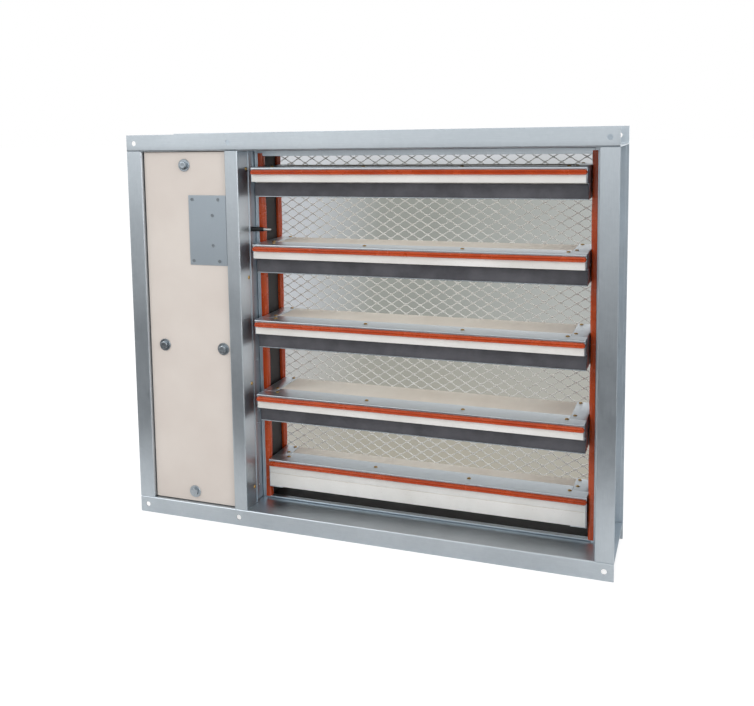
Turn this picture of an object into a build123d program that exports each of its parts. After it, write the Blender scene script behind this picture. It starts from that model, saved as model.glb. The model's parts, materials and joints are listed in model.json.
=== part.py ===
from build123d import *
import math
import os

# A multi-blade fire damper. X runs across the front, Y from the front to the back, Z up.
# The origin is under the middle of the casing, at its base. All sizes are in millimetres.
# The damper is open, with every blade level.

# Casing
WIDTH = 860.0               # over the duct flanges
HEIGHT = 710.0              # over the duct flanges
CASING_DEPTH = 170.0        # from the front flanges' face to the rear flanges' face
FLANGE = 30.0               # front duct flange
REAR_FLANGE = 26.0          # the rear flange is narrower, so that the guard frame laps it
CASING_SHEET = 1.5
BEND = 2.0                  # bend radius at the middle of the sheet
FLANGE_HOLE = 9.0           # bolt holes in the flanges, for M8
HOLE_INSET = 15.0           # hole centre to the flange's outer edge
MIDDLE_HOLE = 206.0         # the extra hole, from the casing's left edge

# Post and wall between the mechanism chamber and the duct
CHAMBER_WIDTH = 168.0       # from the left stile to the post
POST_WIDTH = 25.5
POST_STOP_GAP = 26.0        # the post's leg on the duct side ends this far ahead of the front stops
POST_LIP = 20.0             # depth of its leg on the chamber side
WALL_SETBACK = 4.0          # the wall starts this far behind the front face
WALL_TAB = 15.0             # folded tabs at the wall's top and bottom

# Guard on the rear side
GUARD_DEPTH = 10.0
GUARD_FACE = 30.0           # width of the guard frame's rear face
GUARD_LIP = 10.0            # width of the lip that laps the rear flanges
GUARD_SHEET = 1.5
MESH_SHEET = 1.5
MESH_LONG = 83.4            # long diagonal of a diamond
MESH_SHORT = 52.2           # short diagonal
MESH_STRAND = 3.0
MESH_RIM = 8.0              # plain border of the mesh
MESH_HELD = 22.0            # how far the mesh reaches under the frame's face
MESH_SPARE = 3              # columns and rows past the mesh, which its border cuts off

# Stops, linings and seals round the blades
FRONT_STOP_AHEAD = 34.0     # pivots to the front stops' face
REAR_STOP_INSET = 13.5      # rear flanges' face to the rear stops' back
STOP_WIDTH = 13.0           # face of the side stops
TOP_STOP_HEIGHT = 12.0
BOTTOM_STOP_HEIGHT = 4.0
STOP_LEG = 15.0             # the stops' legs on the casing
STOP_CHAMFER = 5.0
STOP_JOINT = 0.5            # gap between the ends of two stops
SIDE_LINING = 10.0
FLAT_LINING = 1.5           # lining on the duct's floor and ceiling
SIDE_SEAL = 7.0             # seals that the blades' ends brush past
END_GAP = 0.5               # side seal to the blade's end

# Blades
BLADES = 5
LEAD = 2                    # the blade that the actuator turns, counted from the top
PIVOT_INSET = 65.0          # rear flanges' face to the pivots
LOWEST_PIVOT = 52.0         # the duct's floor to the lowest pivot
HIGHEST_PIVOT = 56.0        # the duct's ceiling to the highest pivot
BOARD = 25.0                # thickness of each of a blade's two boards
BLADE_SHEET = 1.2
LAP = 5.0                   # a closed blade's front board laps the next blade's rear board
LAP_GAP = 1.0               # running gap between the two lapping boards
EDGE_GAP = 1.0              # a closed blade's end to the lining
BULB_HEIGHT = 9.0
BULB_OUT = 7.0              # the bulb seal stands this far ahead of its board
SEAL_GAP = 1.2              # a closed blade's bulb to the next blade's board
STRIP = 4.0                 # thickness of the swelling strip
STRIP_GAP = 10.0            # room that the strip swells into
STRIP_TOP_GAP = 1.5         # strip to the board above it
ANGLE_LEG = 46.0            # top angle, on the board
ANGLE_LIP = 3.2             # its lip, outer height
LOWER_LEG = 22.0            # lower angle, under the board
LOWER_LIP = 4.0
TAB_WIDTH = 26.0            # tabs of the end caps, over and under the boards
TAB_LAP = 19.0              # how far the top tab reaches past the top angle's rear edge
NOTCH_GAP = 0.5
SCREW_HEAD = 7.0
SCREW_HEAD_HEIGHT = 1.6
SCREW_SIDES = 12
ANGLE_SCREWS = 4            # on each top angle
ANGLE_SCREW_INSET = 30.0    # the blade's ends to the outermost of them
TAB_SCREW_INSET = 20.0      # blade's end to the tab screws
TAB_SCREW_EDGE = 6.5        # the blade's rear edge to the rear tab screw
TAB_SCREW_FRONT = 19.0      # the top tab's front end to the front tab screw

# Shafts, bushes and the linkage
SHAFT = 12.0
SHAFT_FIT = 0.05            # radial running clearance in the bushes
WELD_BOSS = 28.0            # round plate that welds a shaft to its end cap
WELD_BOSS_THICKNESS = 2.0
BUSH = 18.0
BUSH_FLANGE = 26.0
BUSH_FLANGE_THICKNESS = 3.0
BUSH_REACH = 8.0            # how far a bush reaches into the duct's lining
BUSH_SEAT = 0.05            # radial clearance in the sheet
LINING_CLEARANCE = 0.5      # radial, round a bush
SHAFT_END = 1.5             # shaft beyond the right bushes
CRANK = 35.0                # shaft to crank pin
CRANK_START = 135.0         # crank's direction with the blades open, from the rear upwards
CRANK_HUB = 22.0
CRANK_HUB_LENGTH = 10.0
CRANK_EYE = 16.0
CRANK_PLATE = 4.0
CRANK_GAP = 0.5             # endwise gaps along the shaft and the pin
PIN = 6.0
PIN_HEAD = 10.0
PIN_HEAD_THICKNESS = 1.5
PIN_FIT = 0.05              # radial clearance on the lead crank's pin
PIN_SLACK = 0.5             # radial clearance on the other pins
TIE_BAR = 18.0
TIE_BAR_THICKNESS = 4.0
TIE_BAR_END = 12.0          # outermost pins to the bar's ends

# Actuator in the chamber
ACTUATOR_WIDTH = 84.0
ACTUATOR_HEIGHT = 150.0
ACTUATOR_DEPTH = 52.0
ACTUATOR_AHEAD = 50.4       # the shaft to the actuator's front side
ACTUATOR_BELOW = 38.5       # the shaft to the actuator's lower end
ACTUATOR_ROUND = 6.0
ACTUATOR_BACK = 52.0        # the wall to the bracket's plate
BRACKET_SHEET = 2.0
BRACKET_MARGIN = 8.0        # plate beyond the actuator's top and bottom
BRACKET_EDGE = 8.0          # plate beyond its front side
BRACKET_FOOT = 20.0
BRACKET_COVER_GAP = 4.5     # the bracket's web to the rear cover
CLAMP = 32.0
CLAMP_LENGTH = 12.0
CLAMP_SCREW = 5.0
SHAFT_HOLE_GAP = 0.5        # radial, where the lead shaft passes the actuator

# Covers of the chamber
COVER_SETBACK = 7.5         # the front cover lies behind the flanges' face
COVER = 20.0
COVER_GAP = 1.5
LEDGE_WIDTH = 15.0          # legs of the angles that the rear cover rests on
LEDGE_DROP = 62.0           # the bracket to the ledges' top
LEDGE_LENGTH = 250.0
SPACER = 14.0
COVER_BOLT = 8.0
BOLT_HOLE_GAP = 0.5
BOLT_THREAD_GAP = 0.1
BOLT_LENGTH = 34.0
BOLT_HEAD = 13.0            # across flats
BOLT_HEAD_HEIGHT = 5.3
WASHER = 22.5
WASHER_THICKNESS = 2.0
TOP_BOLT_INSET = 25.0       # duct's ceiling to the top bolt
BOTTOM_BOLT_INSET = 20.0
LEFT_BOLT_INSET = 31.5      # stile to the left bolt
RIGHT_BOLT_INSET = 16.0     # post to the right bolt
SIDE_BOLT_HEIGHT = 294.5    # duct's floor to the side bolts

# Service plate on the front cover
PLATE_WIDTH = 74.5
PLATE_HEIGHT = 125.5
PLATE_SHEET = 1.5
PLATE_POST_GAP = 2.5        # its right edge to the post
PLATE_DROP = 78.5           # the duct's ceiling to its top edge
PLATE_SCREW = 6.0
PLATE_SCREW_HEIGHT = 1.0
PLATE_SCREW_LEFT = 7.5      # left edge to the left screws
PLATE_SCREW_RIGHT = 15.0    # right edge to the right screws
PLATE_SCREW_END = 7.5       # top and bottom edges to the outer screws
PLATE_INNER_SCREW = 27.0    # right edge to the inner screws
PLATE_INNER_PITCH = 54.0    # between the two inner screws

# Screws on the post and rivets on the wall
POST_SCREW_EDGE = 11.0      # screws to the edge of the post's leg
POST_SCREWS = 4
POST_SCREW_END = 33.0       # outermost screws to the duct's floor and ceiling
RIVET = 5.0
RIVET_HEIGHT = 1.0
RIVET_AHEAD = 12.0          # front stops to the rivets
RIVETS = 6
RIVET_END = 28.0

# Thermal trip sensor, which reaches through the wall into the duct
SENSOR_AHEAD = 20.5         # front stops to the probe
SENSOR_RISE = 49.5          # the lead shaft to the probe
SENSOR_BOX_WIDTH = 26.0
SENSOR_BOX_HEIGHT = 54.0
SENSOR_BOX_DEPTH = 20.0
SENSOR_BOX_OFFSET = 7.0     # the box's middle lies this far in front of the probe
SENSOR_BASE = 9.0           # diameter at the wall
SENSOR_NOSE = 7.5           # diameter at the nose
SENSOR_NOSE_LENGTH = 26.0
SENSOR_TIP = 5.0
SENSOR_TIP_LENGTH = 14.0
SENSOR_HOLE_GAP = 0.5

# How far a cutting shape reaches past what it cuts
PAST = 1.0

# Places worked out from the sizes above
DEPTH = CASING_DEPTH + GUARD_DEPTH
FRONT = -DEPTH / 2
REAR = FRONT + CASING_DEPTH
LEFT = -WIDTH / 2
FLOOR = FLANGE
CEILING = HEIGHT - FLANGE
DUCT_HEIGHT = CEILING - FLOOR
CHAMBER_LEFT = LEFT + FLANGE
POST_LEFT = CHAMBER_LEFT + CHAMBER_WIDTH
POST_RIGHT = POST_LEFT + POST_WIDTH
DUCT_LEFT = POST_RIGHT - CASING_SHEET
WALL_BACK = DUCT_LEFT - CASING_SHEET
DUCT_RIGHT = WIDTH / 2 - FLANGE
LINING_LEFT = DUCT_LEFT + CASING_SHEET + SIDE_LINING
LINING_RIGHT = DUCT_RIGHT - CASING_SHEET - SIDE_LINING
BLADE_LEFT = LINING_LEFT + SIDE_SEAL + END_GAP
BLADE_RIGHT = LINING_RIGHT - SIDE_SEAL - END_GAP
PIVOT_Y = REAR - PIVOT_INSET
FRONT_STOP_FACE = PIVOT_Y - FRONT_STOP_AHEAD
REAR_STOP_FACE = REAR - REAR_STOP_INSET
POST_LEG_END = FRONT_STOP_FACE - POST_STOP_GAP
PITCH = (DUCT_HEIGHT - LOWEST_PIVOT - HIGHEST_PIVOT) / (BLADES - 1)
PIVOTS = [CEILING - HIGHEST_PIVOT - PITCH * number for number in range(BLADES)]
LEAD_PIVOT = PIVOTS[LEAD - 1]
ACTUATOR_LOW = LEAD_PIVOT - ACTUATOR_BELOW
SENSOR_Z = LEAD_PIVOT + SENSOR_RISE
SENSOR_Y = FRONT_STOP_FACE - SENSOR_AHEAD

# How far each layer of a blade reaches from its pivot
LOWER_REAR = HIGHEST_PIVOT - FLAT_LINING - EDGE_GAP
UPPER_FRONT = PITCH - LOWER_REAR + LAP
UPPER_REAR = PITCH - UPPER_FRONT - BULB_OUT - SEAL_GAP
LOWER_FRONT = PITCH - LOWER_REAR - STRIP_GAP - STRIP
BOTTOM_FRONT = LOWEST_PIVOT - FLAT_LINING - EDGE_GAP - BULB_OUT

# Places along the shafts on the chamber side
HUB_END = WALL_BACK - BUSH_FLANGE_THICKNESS - CRANK_GAP
HUB_START = HUB_END - CRANK_HUB_LENGTH
BAR_END = HUB_START - CRANK_GAP
BAR_START = BAR_END - TIE_BAR_THICKNESS
PIN_HEAD_END = BAR_START - CRANK_GAP
PLATE_FACE = WALL_BACK - ACTUATOR_BACK
ACTUATOR_RIGHT = PLATE_FACE - BRACKET_SHEET
ACTUATOR_LEFT = ACTUATOR_RIGHT - ACTUATOR_DEPTH


def block(x_span, y_span, z_span):
    """A box between a low and a high limit along each axis."""
    spans = (x_span, y_span, z_span)
    middle = [(low + high) / 2 for low, high in spans]
    size = [high - low for low, high in spans]
    return Pos(*middle) * Box(*size)


def rod_along_x(diameter, x_span, y, z):
    """A round rod between two X limits."""
    low, high = x_span
    return Pos((low + high) / 2, y, z) * Rot(0, 90, 0) * Cylinder(diameter / 2, high - low)


def rod_along_y(diameter, y_span, x, z):
    """A round rod between two Y limits."""
    low, high = y_span
    return Pos(x, (low + high) / 2, z) * Rot(90, 0, 0) * Cylinder(diameter / 2, high - low)


def along_x(section, x_span):
    """Extrude a section drawn with Y across and Z up."""
    return extrude(Plane.YZ.offset(x_span[0]) * section, amount=x_span[1] - x_span[0])


def along_y(section, y_span):
    """Extrude a section drawn with X across and Z up."""
    return extrude(Plane.XZ.offset(-y_span[1]) * section, amount=y_span[1] - y_span[0])


def along_z(section, z_span):
    """Extrude a section drawn with X across and Y away from the front."""
    return extrude(Plane.XY.offset(z_span[0]) * section, amount=z_span[1] - z_span[0])


def bent_sheet(*path):
    """The section of a casing sheet that is bent along a path through its middle."""
    return trace(FilletPolyline(*path, radius=BEND), line_width=CASING_SHEET)


def folded_angle(corner, leg, lip, sheet):
    """The section of a sharply folded angle, from the outer corner. A sign sets each leg's side."""
    across, up = corner
    side = math.copysign(1, leg)
    rise = math.copysign(1, lip)
    return make_face(Polyline(
        (across, up), (across + leg, up), (across + leg, up + rise * sheet),
        (across + side * sheet, up + rise * sheet), (across + side * sheet, up + lip),
        (across, up + lip), close=True))


def spread(count, low, high):
    """Evenly spaced places from a low one to a high one."""
    return [low + (high - low) * number / (count - 1) for number in range(count)]


def flange_bolts():
    """Bolt holes that run through the front and rear flanges of a rail."""
    places = (LEFT + HOLE_INSET, LEFT + MIDDLE_HOLE, -LEFT - HOLE_INSET)
    depth = (FRONT - CASING_SHEET, FRONT + DEPTH + CASING_SHEET)
    levels = (HOLE_INSET, HEIGHT - HOLE_INSET)
    return [rod_along_y(FLANGE_HOLE, depth, x, z) for x in places for z in levels]


def casing_channel(length):
    """A casing member along X: its web lies on the duct and its flanges stand up."""
    half = CASING_SHEET / 2
    section = bent_sheet(
        (FRONT + half, FLANGE), (FRONT + half, half), (REAR - half, half), (REAR - half, REAR_FLANGE))
    return along_x(section, (-length / 2, length / 2))


def casing():
    """Two rails across the full width, and two stiles between them."""
    holes = flange_bolts()
    bushes = [
        rod_along_x(BUSH + 2 * BUSH_SEAT, (DUCT_RIGHT - CASING_SHEET, DUCT_RIGHT + 2 * CASING_SHEET),
                    PIVOT_Y, z) for z in PIVOTS]
    top_rail = Pos(0, 0, CEILING) * casing_channel(WIDTH)
    bottom_rail = Pos(0, 0, FLOOR) * mirror(casing_channel(WIDTH), Plane.XY)
    stile = casing_channel(DUCT_HEIGHT)
    middle = (FLOOR + CEILING) / 2
    return {
        "top_rail": [top_rail - holes],
        "bottom_rail": [bottom_rail - holes],
        "left_stile": [Pos(CHAMBER_LEFT, 0, middle) * Rot(0, -90, 0) * stile],
        "right_stile": [Pos(DUCT_RIGHT, 0, middle) * Rot(0, 90, 0) * stile - bushes],
    }


def divider():
    """The post in front of the chamber's wall, and the wall that carries the left bushes."""
    half = CASING_SHEET / 2
    post = along_z(bent_sheet(
        (POST_LEFT + half, FRONT + POST_LIP), (POST_LEFT + half, FRONT + half),
        (POST_RIGHT - half, FRONT + half), (POST_RIGHT - half, POST_LEG_END)), (FLOOR, CEILING))
    wall_x = DUCT_LEFT - half
    wall = along_y(bent_sheet(
        (DUCT_LEFT - WALL_TAB, CEILING - half), (wall_x, CEILING - half),
        (wall_x, FLOOR + half), (DUCT_LEFT - WALL_TAB, FLOOR + half)),
        (FRONT + WALL_SETBACK, REAR - CASING_SHEET))
    through = (WALL_BACK - CASING_SHEET, DUCT_LEFT + CASING_SHEET)
    bushes = [rod_along_x(BUSH + 2 * BUSH_SEAT, through, PIVOT_Y, z) for z in PIVOTS]
    probe = rod_along_x(SENSOR_BASE + 2 * SENSOR_HOLE_GAP, through, SENSOR_Y, SENSOR_Z)
    return {"divider_post": [post], "divider_wall": [wall - bushes - probe]}


def guard():
    """The frame of folded channel behind the casing, and the diamond mesh that it holds."""
    back = REAR + GUARD_DEPTH
    ring = block((LEFT, -LEFT), (REAR, back), (0, HEIGHT))
    ring -= block((LEFT + GUARD_SHEET, -LEFT - GUARD_SHEET), (REAR + GUARD_SHEET, back - GUARD_SHEET),
                  (GUARD_SHEET, HEIGHT - GUARD_SHEET))
    ring -= block((LEFT + GUARD_LIP, -LEFT - GUARD_LIP), (REAR - GUARD_SHEET, REAR + 2 * GUARD_SHEET),
                  (GUARD_LIP, HEIGHT - GUARD_LIP))
    heights = (GUARD_FACE, HEIGHT - GUARD_FACE)
    depth = (back - 2 * GUARD_SHEET, back + GUARD_SHEET)
    ring -= block((LEFT + GUARD_FACE, POST_LEFT), depth, heights)
    ring -= block((POST_RIGHT, -LEFT - GUARD_FACE), depth, heights)
    ring -= flange_bolts()

    mesh_left = POST_RIGHT - MESH_HELD
    mesh_right = -LEFT - GUARD_FACE + MESH_HELD / 2
    mesh_low = GUARD_FACE - MESH_HELD / 2
    wide = mesh_right - mesh_left
    tall = HEIGHT - 2 * mesh_low
    shrink = 1 - MESH_STRAND * math.hypot(MESH_LONG, MESH_SHORT) / (MESH_LONG * MESH_SHORT)
    across = MESH_LONG / 2 * shrink
    up = MESH_SHORT / 2 * shrink
    diamond = make_face(Polyline((-across, 0), (0, -up), (across, 0), (0, up), close=True))
    window = Rectangle(wide - 2 * MESH_RIM, tall - 2 * MESH_RIM)
    columns = int(wide / MESH_LONG) * 2 + MESH_SPARE
    rows = int(tall / MESH_SHORT) * 2 + MESH_SPARE
    holes = []
    for column in range(columns):
        for row in range(column % 2, rows, 2):
            x = (column - (columns - 1) / 2) * MESH_LONG / 2
            z = (row - (rows - 1) / 2) * MESH_SHORT / 2
            hole = window & Pos(x, z) * diamond
            if hole and hole.area > MESH_STRAND ** 2:
                holes.append(hole)
    sheet = Rectangle(wide, tall) - holes
    mesh_back = back - GUARD_SHEET
    mesh = along_y(Pos((mesh_left + mesh_right) / 2, HEIGHT / 2) * sheet, (mesh_back - MESH_SHEET, mesh_back))
    return {"guard_frame": [ring], "guard_mesh": [mesh]}


def stops():
    """Angles round the duct, in front of and behind the blades."""
    half = CASING_SHEET / 2
    duct = (DUCT_LEFT, DUCT_RIGHT)
    across = (DUCT_LEFT + STOP_WIDTH + STOP_JOINT, DUCT_RIGHT - STOP_WIDTH - STOP_JOINT)
    result = {}
    for name, face, leg in (
            ("front_stops", FRONT_STOP_FACE + half, STOP_LEG),
            ("rear_stops", REAR_STOP_FACE - half, -STOP_LEG)):
        pieces = []
        for wall, inward in zip(duct, (1, -1)):
            section = bent_sheet(
                (wall + inward * STOP_WIDTH, face), (wall + inward * half, face),
                (wall + inward * half, face + leg))
            pieces.append(along_z(section, (FLOOR, CEILING)))
        for level, inward, height in ((CEILING, -1, TOP_STOP_HEIGHT), (FLOOR, 1, BOTTOM_STOP_HEIGHT)):
            section = bent_sheet(
                (face, level + inward * height), (face, level + inward * half),
                (face + leg, level + inward * half))
            strip = along_x(section, across)
            if height > STOP_CHAMFER:
                edge = level + inward * height
                for end, towards in zip(across, (1, -1)):
                    corner = make_face(Polyline(
                        (end, edge), (end + towards * STOP_CHAMFER, edge),
                        (end, edge - inward * STOP_CHAMFER), close=True))
                    strip -= along_y(corner, (face - CASING_SHEET, face + CASING_SHEET))
            pieces.append(strip)
        result[name] = pieces
    return result


def linings():
    """Swelling board on the duct's sides, and thinner strips on its floor and ceiling."""
    front = FRONT_STOP_FACE + CASING_SHEET + BEND
    rear = REAR_STOP_FACE - CASING_SHEET - BEND
    hole = BUSH + 2 * LINING_CLEARANCE
    pieces = []
    for low in (DUCT_LEFT + CASING_SHEET, LINING_RIGHT):
        side = block((low, low + SIDE_LINING), (front, rear), (FLOOR, CEILING))
        through = (low - CASING_SHEET, low + SIDE_LINING + CASING_SHEET)
        pieces.append(side - [rod_along_x(hole, through, PIVOT_Y, z) for z in PIVOTS])
    between = (LINING_LEFT + STOP_JOINT, LINING_RIGHT - STOP_JOINT)
    margin = CASING_SHEET + STOP_LEG + STOP_JOINT
    flat = (FRONT_STOP_FACE + margin, REAR_STOP_FACE - margin)
    pieces.append(block(between, flat, (FLOOR, FLOOR + FLAT_LINING)))
    pieces.append(block(between, flat, (CEILING - FLAT_LINING, CEILING)))
    return {"duct_linings": pieces}


def side_seals():
    """Upright seals with a rounded nose, two at each end of the blades."""
    radius = SIDE_SEAL / 2
    heights = (FLOOR + CASING_SHEET + BEND, CEILING - CASING_SHEET - BEND)
    rows = (
        ("front_side_seals", FRONT_STOP_FACE + CASING_SHEET + radius),
        ("rear_side_seals", REAR_STOP_FACE - CASING_SHEET - radius))
    result = {}
    for name, y in rows:
        pieces = []
        for base, inward in ((LINING_LEFT, 1), (LINING_RIGHT, -1)):
            nose = base + inward * radius
            section = make_face(
                Polyline((nose, y - radius), (base, y - radius), (base, y + radius), (nose, y + radius))
                + ThreePointArc((nose, y - radius), (base + inward * SIDE_SEAL, y), (nose, y + radius)))
            pieces.append(along_z(section, heights))
        result[name] = pieces
    return result


def bushes():
    """Flanged bushes: the flanges of the left ones lie in the chamber, of the right ones outside."""
    pieces = []
    for face, outward in ((WALL_BACK, -1), (DUCT_RIGHT + CASING_SHEET, 1)):
        collar = sorted((face, face + outward * BUSH_FLANGE_THICKNESS))
        sleeve = sorted((face, face - outward * (CASING_SHEET + BUSH_REACH)))
        bore = (min(collar + sleeve) - PAST, max(collar + sleeve) + PAST)
        for z in PIVOTS:
            bush = rod_along_x(BUSH_FLANGE, collar, PIVOT_Y, z) + rod_along_x(BUSH, sleeve, PIVOT_Y, z)
            pieces.append(bush - rod_along_x(SHAFT + 2 * SHAFT_FIT, bore, PIVOT_Y, z))
    return {"shaft_bushes": pieces}


def blade_boards(upper_front, lower_front):
    """The two boards of a blade, glued together. The lap under the front one is cut back."""
    ends = (BLADE_LEFT + BLADE_SHEET, BLADE_RIGHT - BLADE_SHEET)
    upper = block(ends, (-upper_front, UPPER_REAR), (0, BOARD))
    if upper_front > lower_front:
        upper -= block(ends, (-upper_front, -lower_front), (0, LAP_GAP))
    lower = block(ends, (-lower_front, LOWER_REAR), (-BOARD, 0))
    return [upper, lower]


def blade_caps(upper_front, lower_front):
    """Sheet caps over a blade's two ends, with tabs on the boards."""
    tab_front = upper_front - ANGLE_LEG + TAB_LAP
    tab_back = LOWER_LEG - NOTCH_GAP if upper_front > lower_front else 0
    pieces = []
    for end, inward in ((BLADE_LEFT, 1), (BLADE_RIGHT, -1)):
        plate = sorted((end, end + inward * BLADE_SHEET))
        tab = sorted((end, end + inward * TAB_WIDTH))
        cap = block(plate, (-upper_front, UPPER_REAR), (0, BOARD))
        if upper_front > lower_front:
            cap -= block(plate, (-upper_front, -lower_front), (0, LAP_GAP))
        cap += block(plate, (-lower_front, LOWER_REAR), (-BOARD, 0))
        cap += block(tab, (-tab_front, UPPER_REAR), (BOARD, BOARD + BLADE_SHEET))
        cap += block(tab, (-lower_front + tab_back, LOWER_REAR), (-BOARD - BLADE_SHEET, -BOARD))
        pieces.append(cap)
    return pieces


def blade_angles(upper_front, lower_front):
    """The angle over a blade's front edge, and on a lapping blade the one under its strip."""
    ends = (BLADE_LEFT, BLADE_RIGHT)
    tab_front = upper_front - ANGLE_LEG + TAB_LAP
    top = BOARD + BLADE_SHEET
    leg = ANGLE_LEG + BLADE_SHEET
    angle = along_x(folded_angle((-upper_front - BLADE_SHEET, top), leg, -ANGLE_LIP, BLADE_SHEET), ends)
    notch = (-tab_front - NOTCH_GAP, -upper_front + ANGLE_LEG + NOTCH_GAP)
    for end, inward in ((BLADE_LEFT, 1), (BLADE_RIGHT, -1)):
        width = sorted((end - inward * PAST, end + inward * (TAB_WIDTH + NOTCH_GAP)))
        angle -= block(width, notch, (BOARD, top))
    if upper_front == lower_front:
        return [angle]
    lower_leg = LOWER_LEG + STRIP + BLADE_SHEET - NOTCH_GAP
    corner = (-lower_front - STRIP - BLADE_SHEET, -top)
    return [angle, along_x(folded_angle(corner, lower_leg - NOTCH_GAP, LOWER_LIP, BLADE_SHEET), ends)]


def blade_bulb(upper_front):
    """The rounded seal under the front angle's lip."""
    top = BOARD + BLADE_SHEET - ANGLE_LIP
    radius = BULB_HEIGHT / 2
    middle = top - radius
    low = top - BULB_HEIGHT
    flat = -upper_front - (BULB_OUT - radius)
    section = make_face(
        Polyline((flat, top), (-upper_front, top), (-upper_front, low), (flat, low))
        + ThreePointArc((flat, top), (-upper_front - BULB_OUT, middle), (flat, low)))
    return [along_x(section, (BLADE_LEFT, BLADE_RIGHT))]


def blade_strip(lower_front):
    """The swelling strip on the front edge of the lower board."""
    return [block((BLADE_LEFT, BLADE_RIGHT), (-lower_front - STRIP, -lower_front), (-BOARD, -STRIP_TOP_GAP))]


def blade_screws(upper_front):
    """Screw heads on the front angle and on the tabs of the end caps."""
    top = BOARD + BLADE_SHEET
    middle = -upper_front + ANGLE_LEG / 2
    row = spread(ANGLE_SCREWS, BLADE_LEFT + ANGLE_SCREW_INSET, BLADE_RIGHT - ANGLE_SCREW_INSET)
    places = [(x, middle) for x in row]
    front = -upper_front + ANGLE_LEG - TAB_LAP + TAB_SCREW_FRONT
    for x in (BLADE_LEFT + TAB_SCREW_INSET, BLADE_RIGHT - TAB_SCREW_INSET):
        places += [(x, front), (x, UPPER_REAR - TAB_SCREW_EDGE)]
    head = extrude(RegularPolygon(SCREW_HEAD / 2, SCREW_SIDES), amount=SCREW_HEAD_HEIGHT, taper=25)
    return [Pos(x, y, top) * head for x, y in places]


def crank():
    """A welded crank on a left shaft, with its pin and the pin's head."""
    angle = math.radians(CRANK_START)
    y = CRANK * math.cos(angle)
    z = CRANK * math.sin(angle)
    outline = make_hull(Circle(CRANK_HUB / 2).edges() + (Pos(y, z) * Circle(CRANK_EYE / 2)).edges())
    arm = along_x(outline, (HUB_START, HUB_START + CRANK_PLATE))
    hub = rod_along_x(CRANK_HUB, (HUB_START, HUB_END), 0, 0)
    pin = rod_along_x(PIN, (PIN_HEAD_END - PIN_HEAD_THICKNESS, HUB_START + CRANK_PLATE), y, z)
    head = rod_along_x(PIN_HEAD, (PIN_HEAD_END - PIN_HEAD_THICKNESS, PIN_HEAD_END), y, z)
    return arm + hub + pin + head


def blade_shafts(left_end):
    """The two shaft stubs of a blade with their weld bosses. The left one carries the crank."""
    left = rod_along_x(SHAFT, (left_end, BLADE_LEFT), 0, 0)
    left += rod_along_x(WELD_BOSS, (BLADE_LEFT - WELD_BOSS_THICKNESS, BLADE_LEFT), 0, 0)
    left += crank()
    right_end = DUCT_RIGHT + CASING_SHEET + BUSH_FLANGE_THICKNESS + SHAFT_END
    right = rod_along_x(SHAFT, (BLADE_RIGHT, right_end), 0, 0)
    right += rod_along_x(WELD_BOSS, (BLADE_RIGHT, BLADE_RIGHT + WELD_BOSS_THICKNESS), 0, 0)
    return [left, right]


def blade(number):
    """All pieces of one blade, moved to its pivot. The bottom blade has no lap and no strip."""
    bottom = number == BLADES
    upper_front = BOTTOM_FRONT if bottom else UPPER_FRONT
    lower_front = BOTTOM_FRONT if bottom else LOWER_FRONT
    shaft_end = ACTUATOR_LEFT - CLAMP_LENGTH if number == LEAD else HUB_START - CRANK_GAP
    pieces = {
        "boards": blade_boards(upper_front, lower_front),
        "steelwork": blade_caps(upper_front, lower_front) + blade_angles(upper_front, lower_front),
        "bulb_seal": blade_bulb(upper_front),
        "screws": blade_screws(upper_front),
        "shafts": blade_shafts(shaft_end),
    }
    if not bottom:
        pieces["fire_strip"] = blade_strip(lower_front)
    place = Pos(0, PIVOT_Y, PIVOTS[number - 1])
    return {f"blade_{number}_{name}": [place * shape for shape in shapes] for name, shapes in pieces.items()}


def tie_bar():
    """The bar that joins the crank pins."""
    angle = math.radians(CRANK_START)
    y = PIVOT_Y + CRANK * math.cos(angle)
    rise = CRANK * math.sin(angle)
    span = (PIVOTS[-1] + rise - TIE_BAR_END, PIVOTS[0] + rise + TIE_BAR_END)
    bar = block((BAR_START, BAR_END), (y - TIE_BAR / 2, y + TIE_BAR / 2), span)
    for z in PIVOTS:
        slack = PIN_FIT if z == LEAD_PIVOT else PIN_SLACK
        bar -= rod_along_x(PIN + 2 * slack, (BAR_START - PAST, BAR_END + PAST), y, z + rise)
    return {"tie_bar": [bar]}


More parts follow.
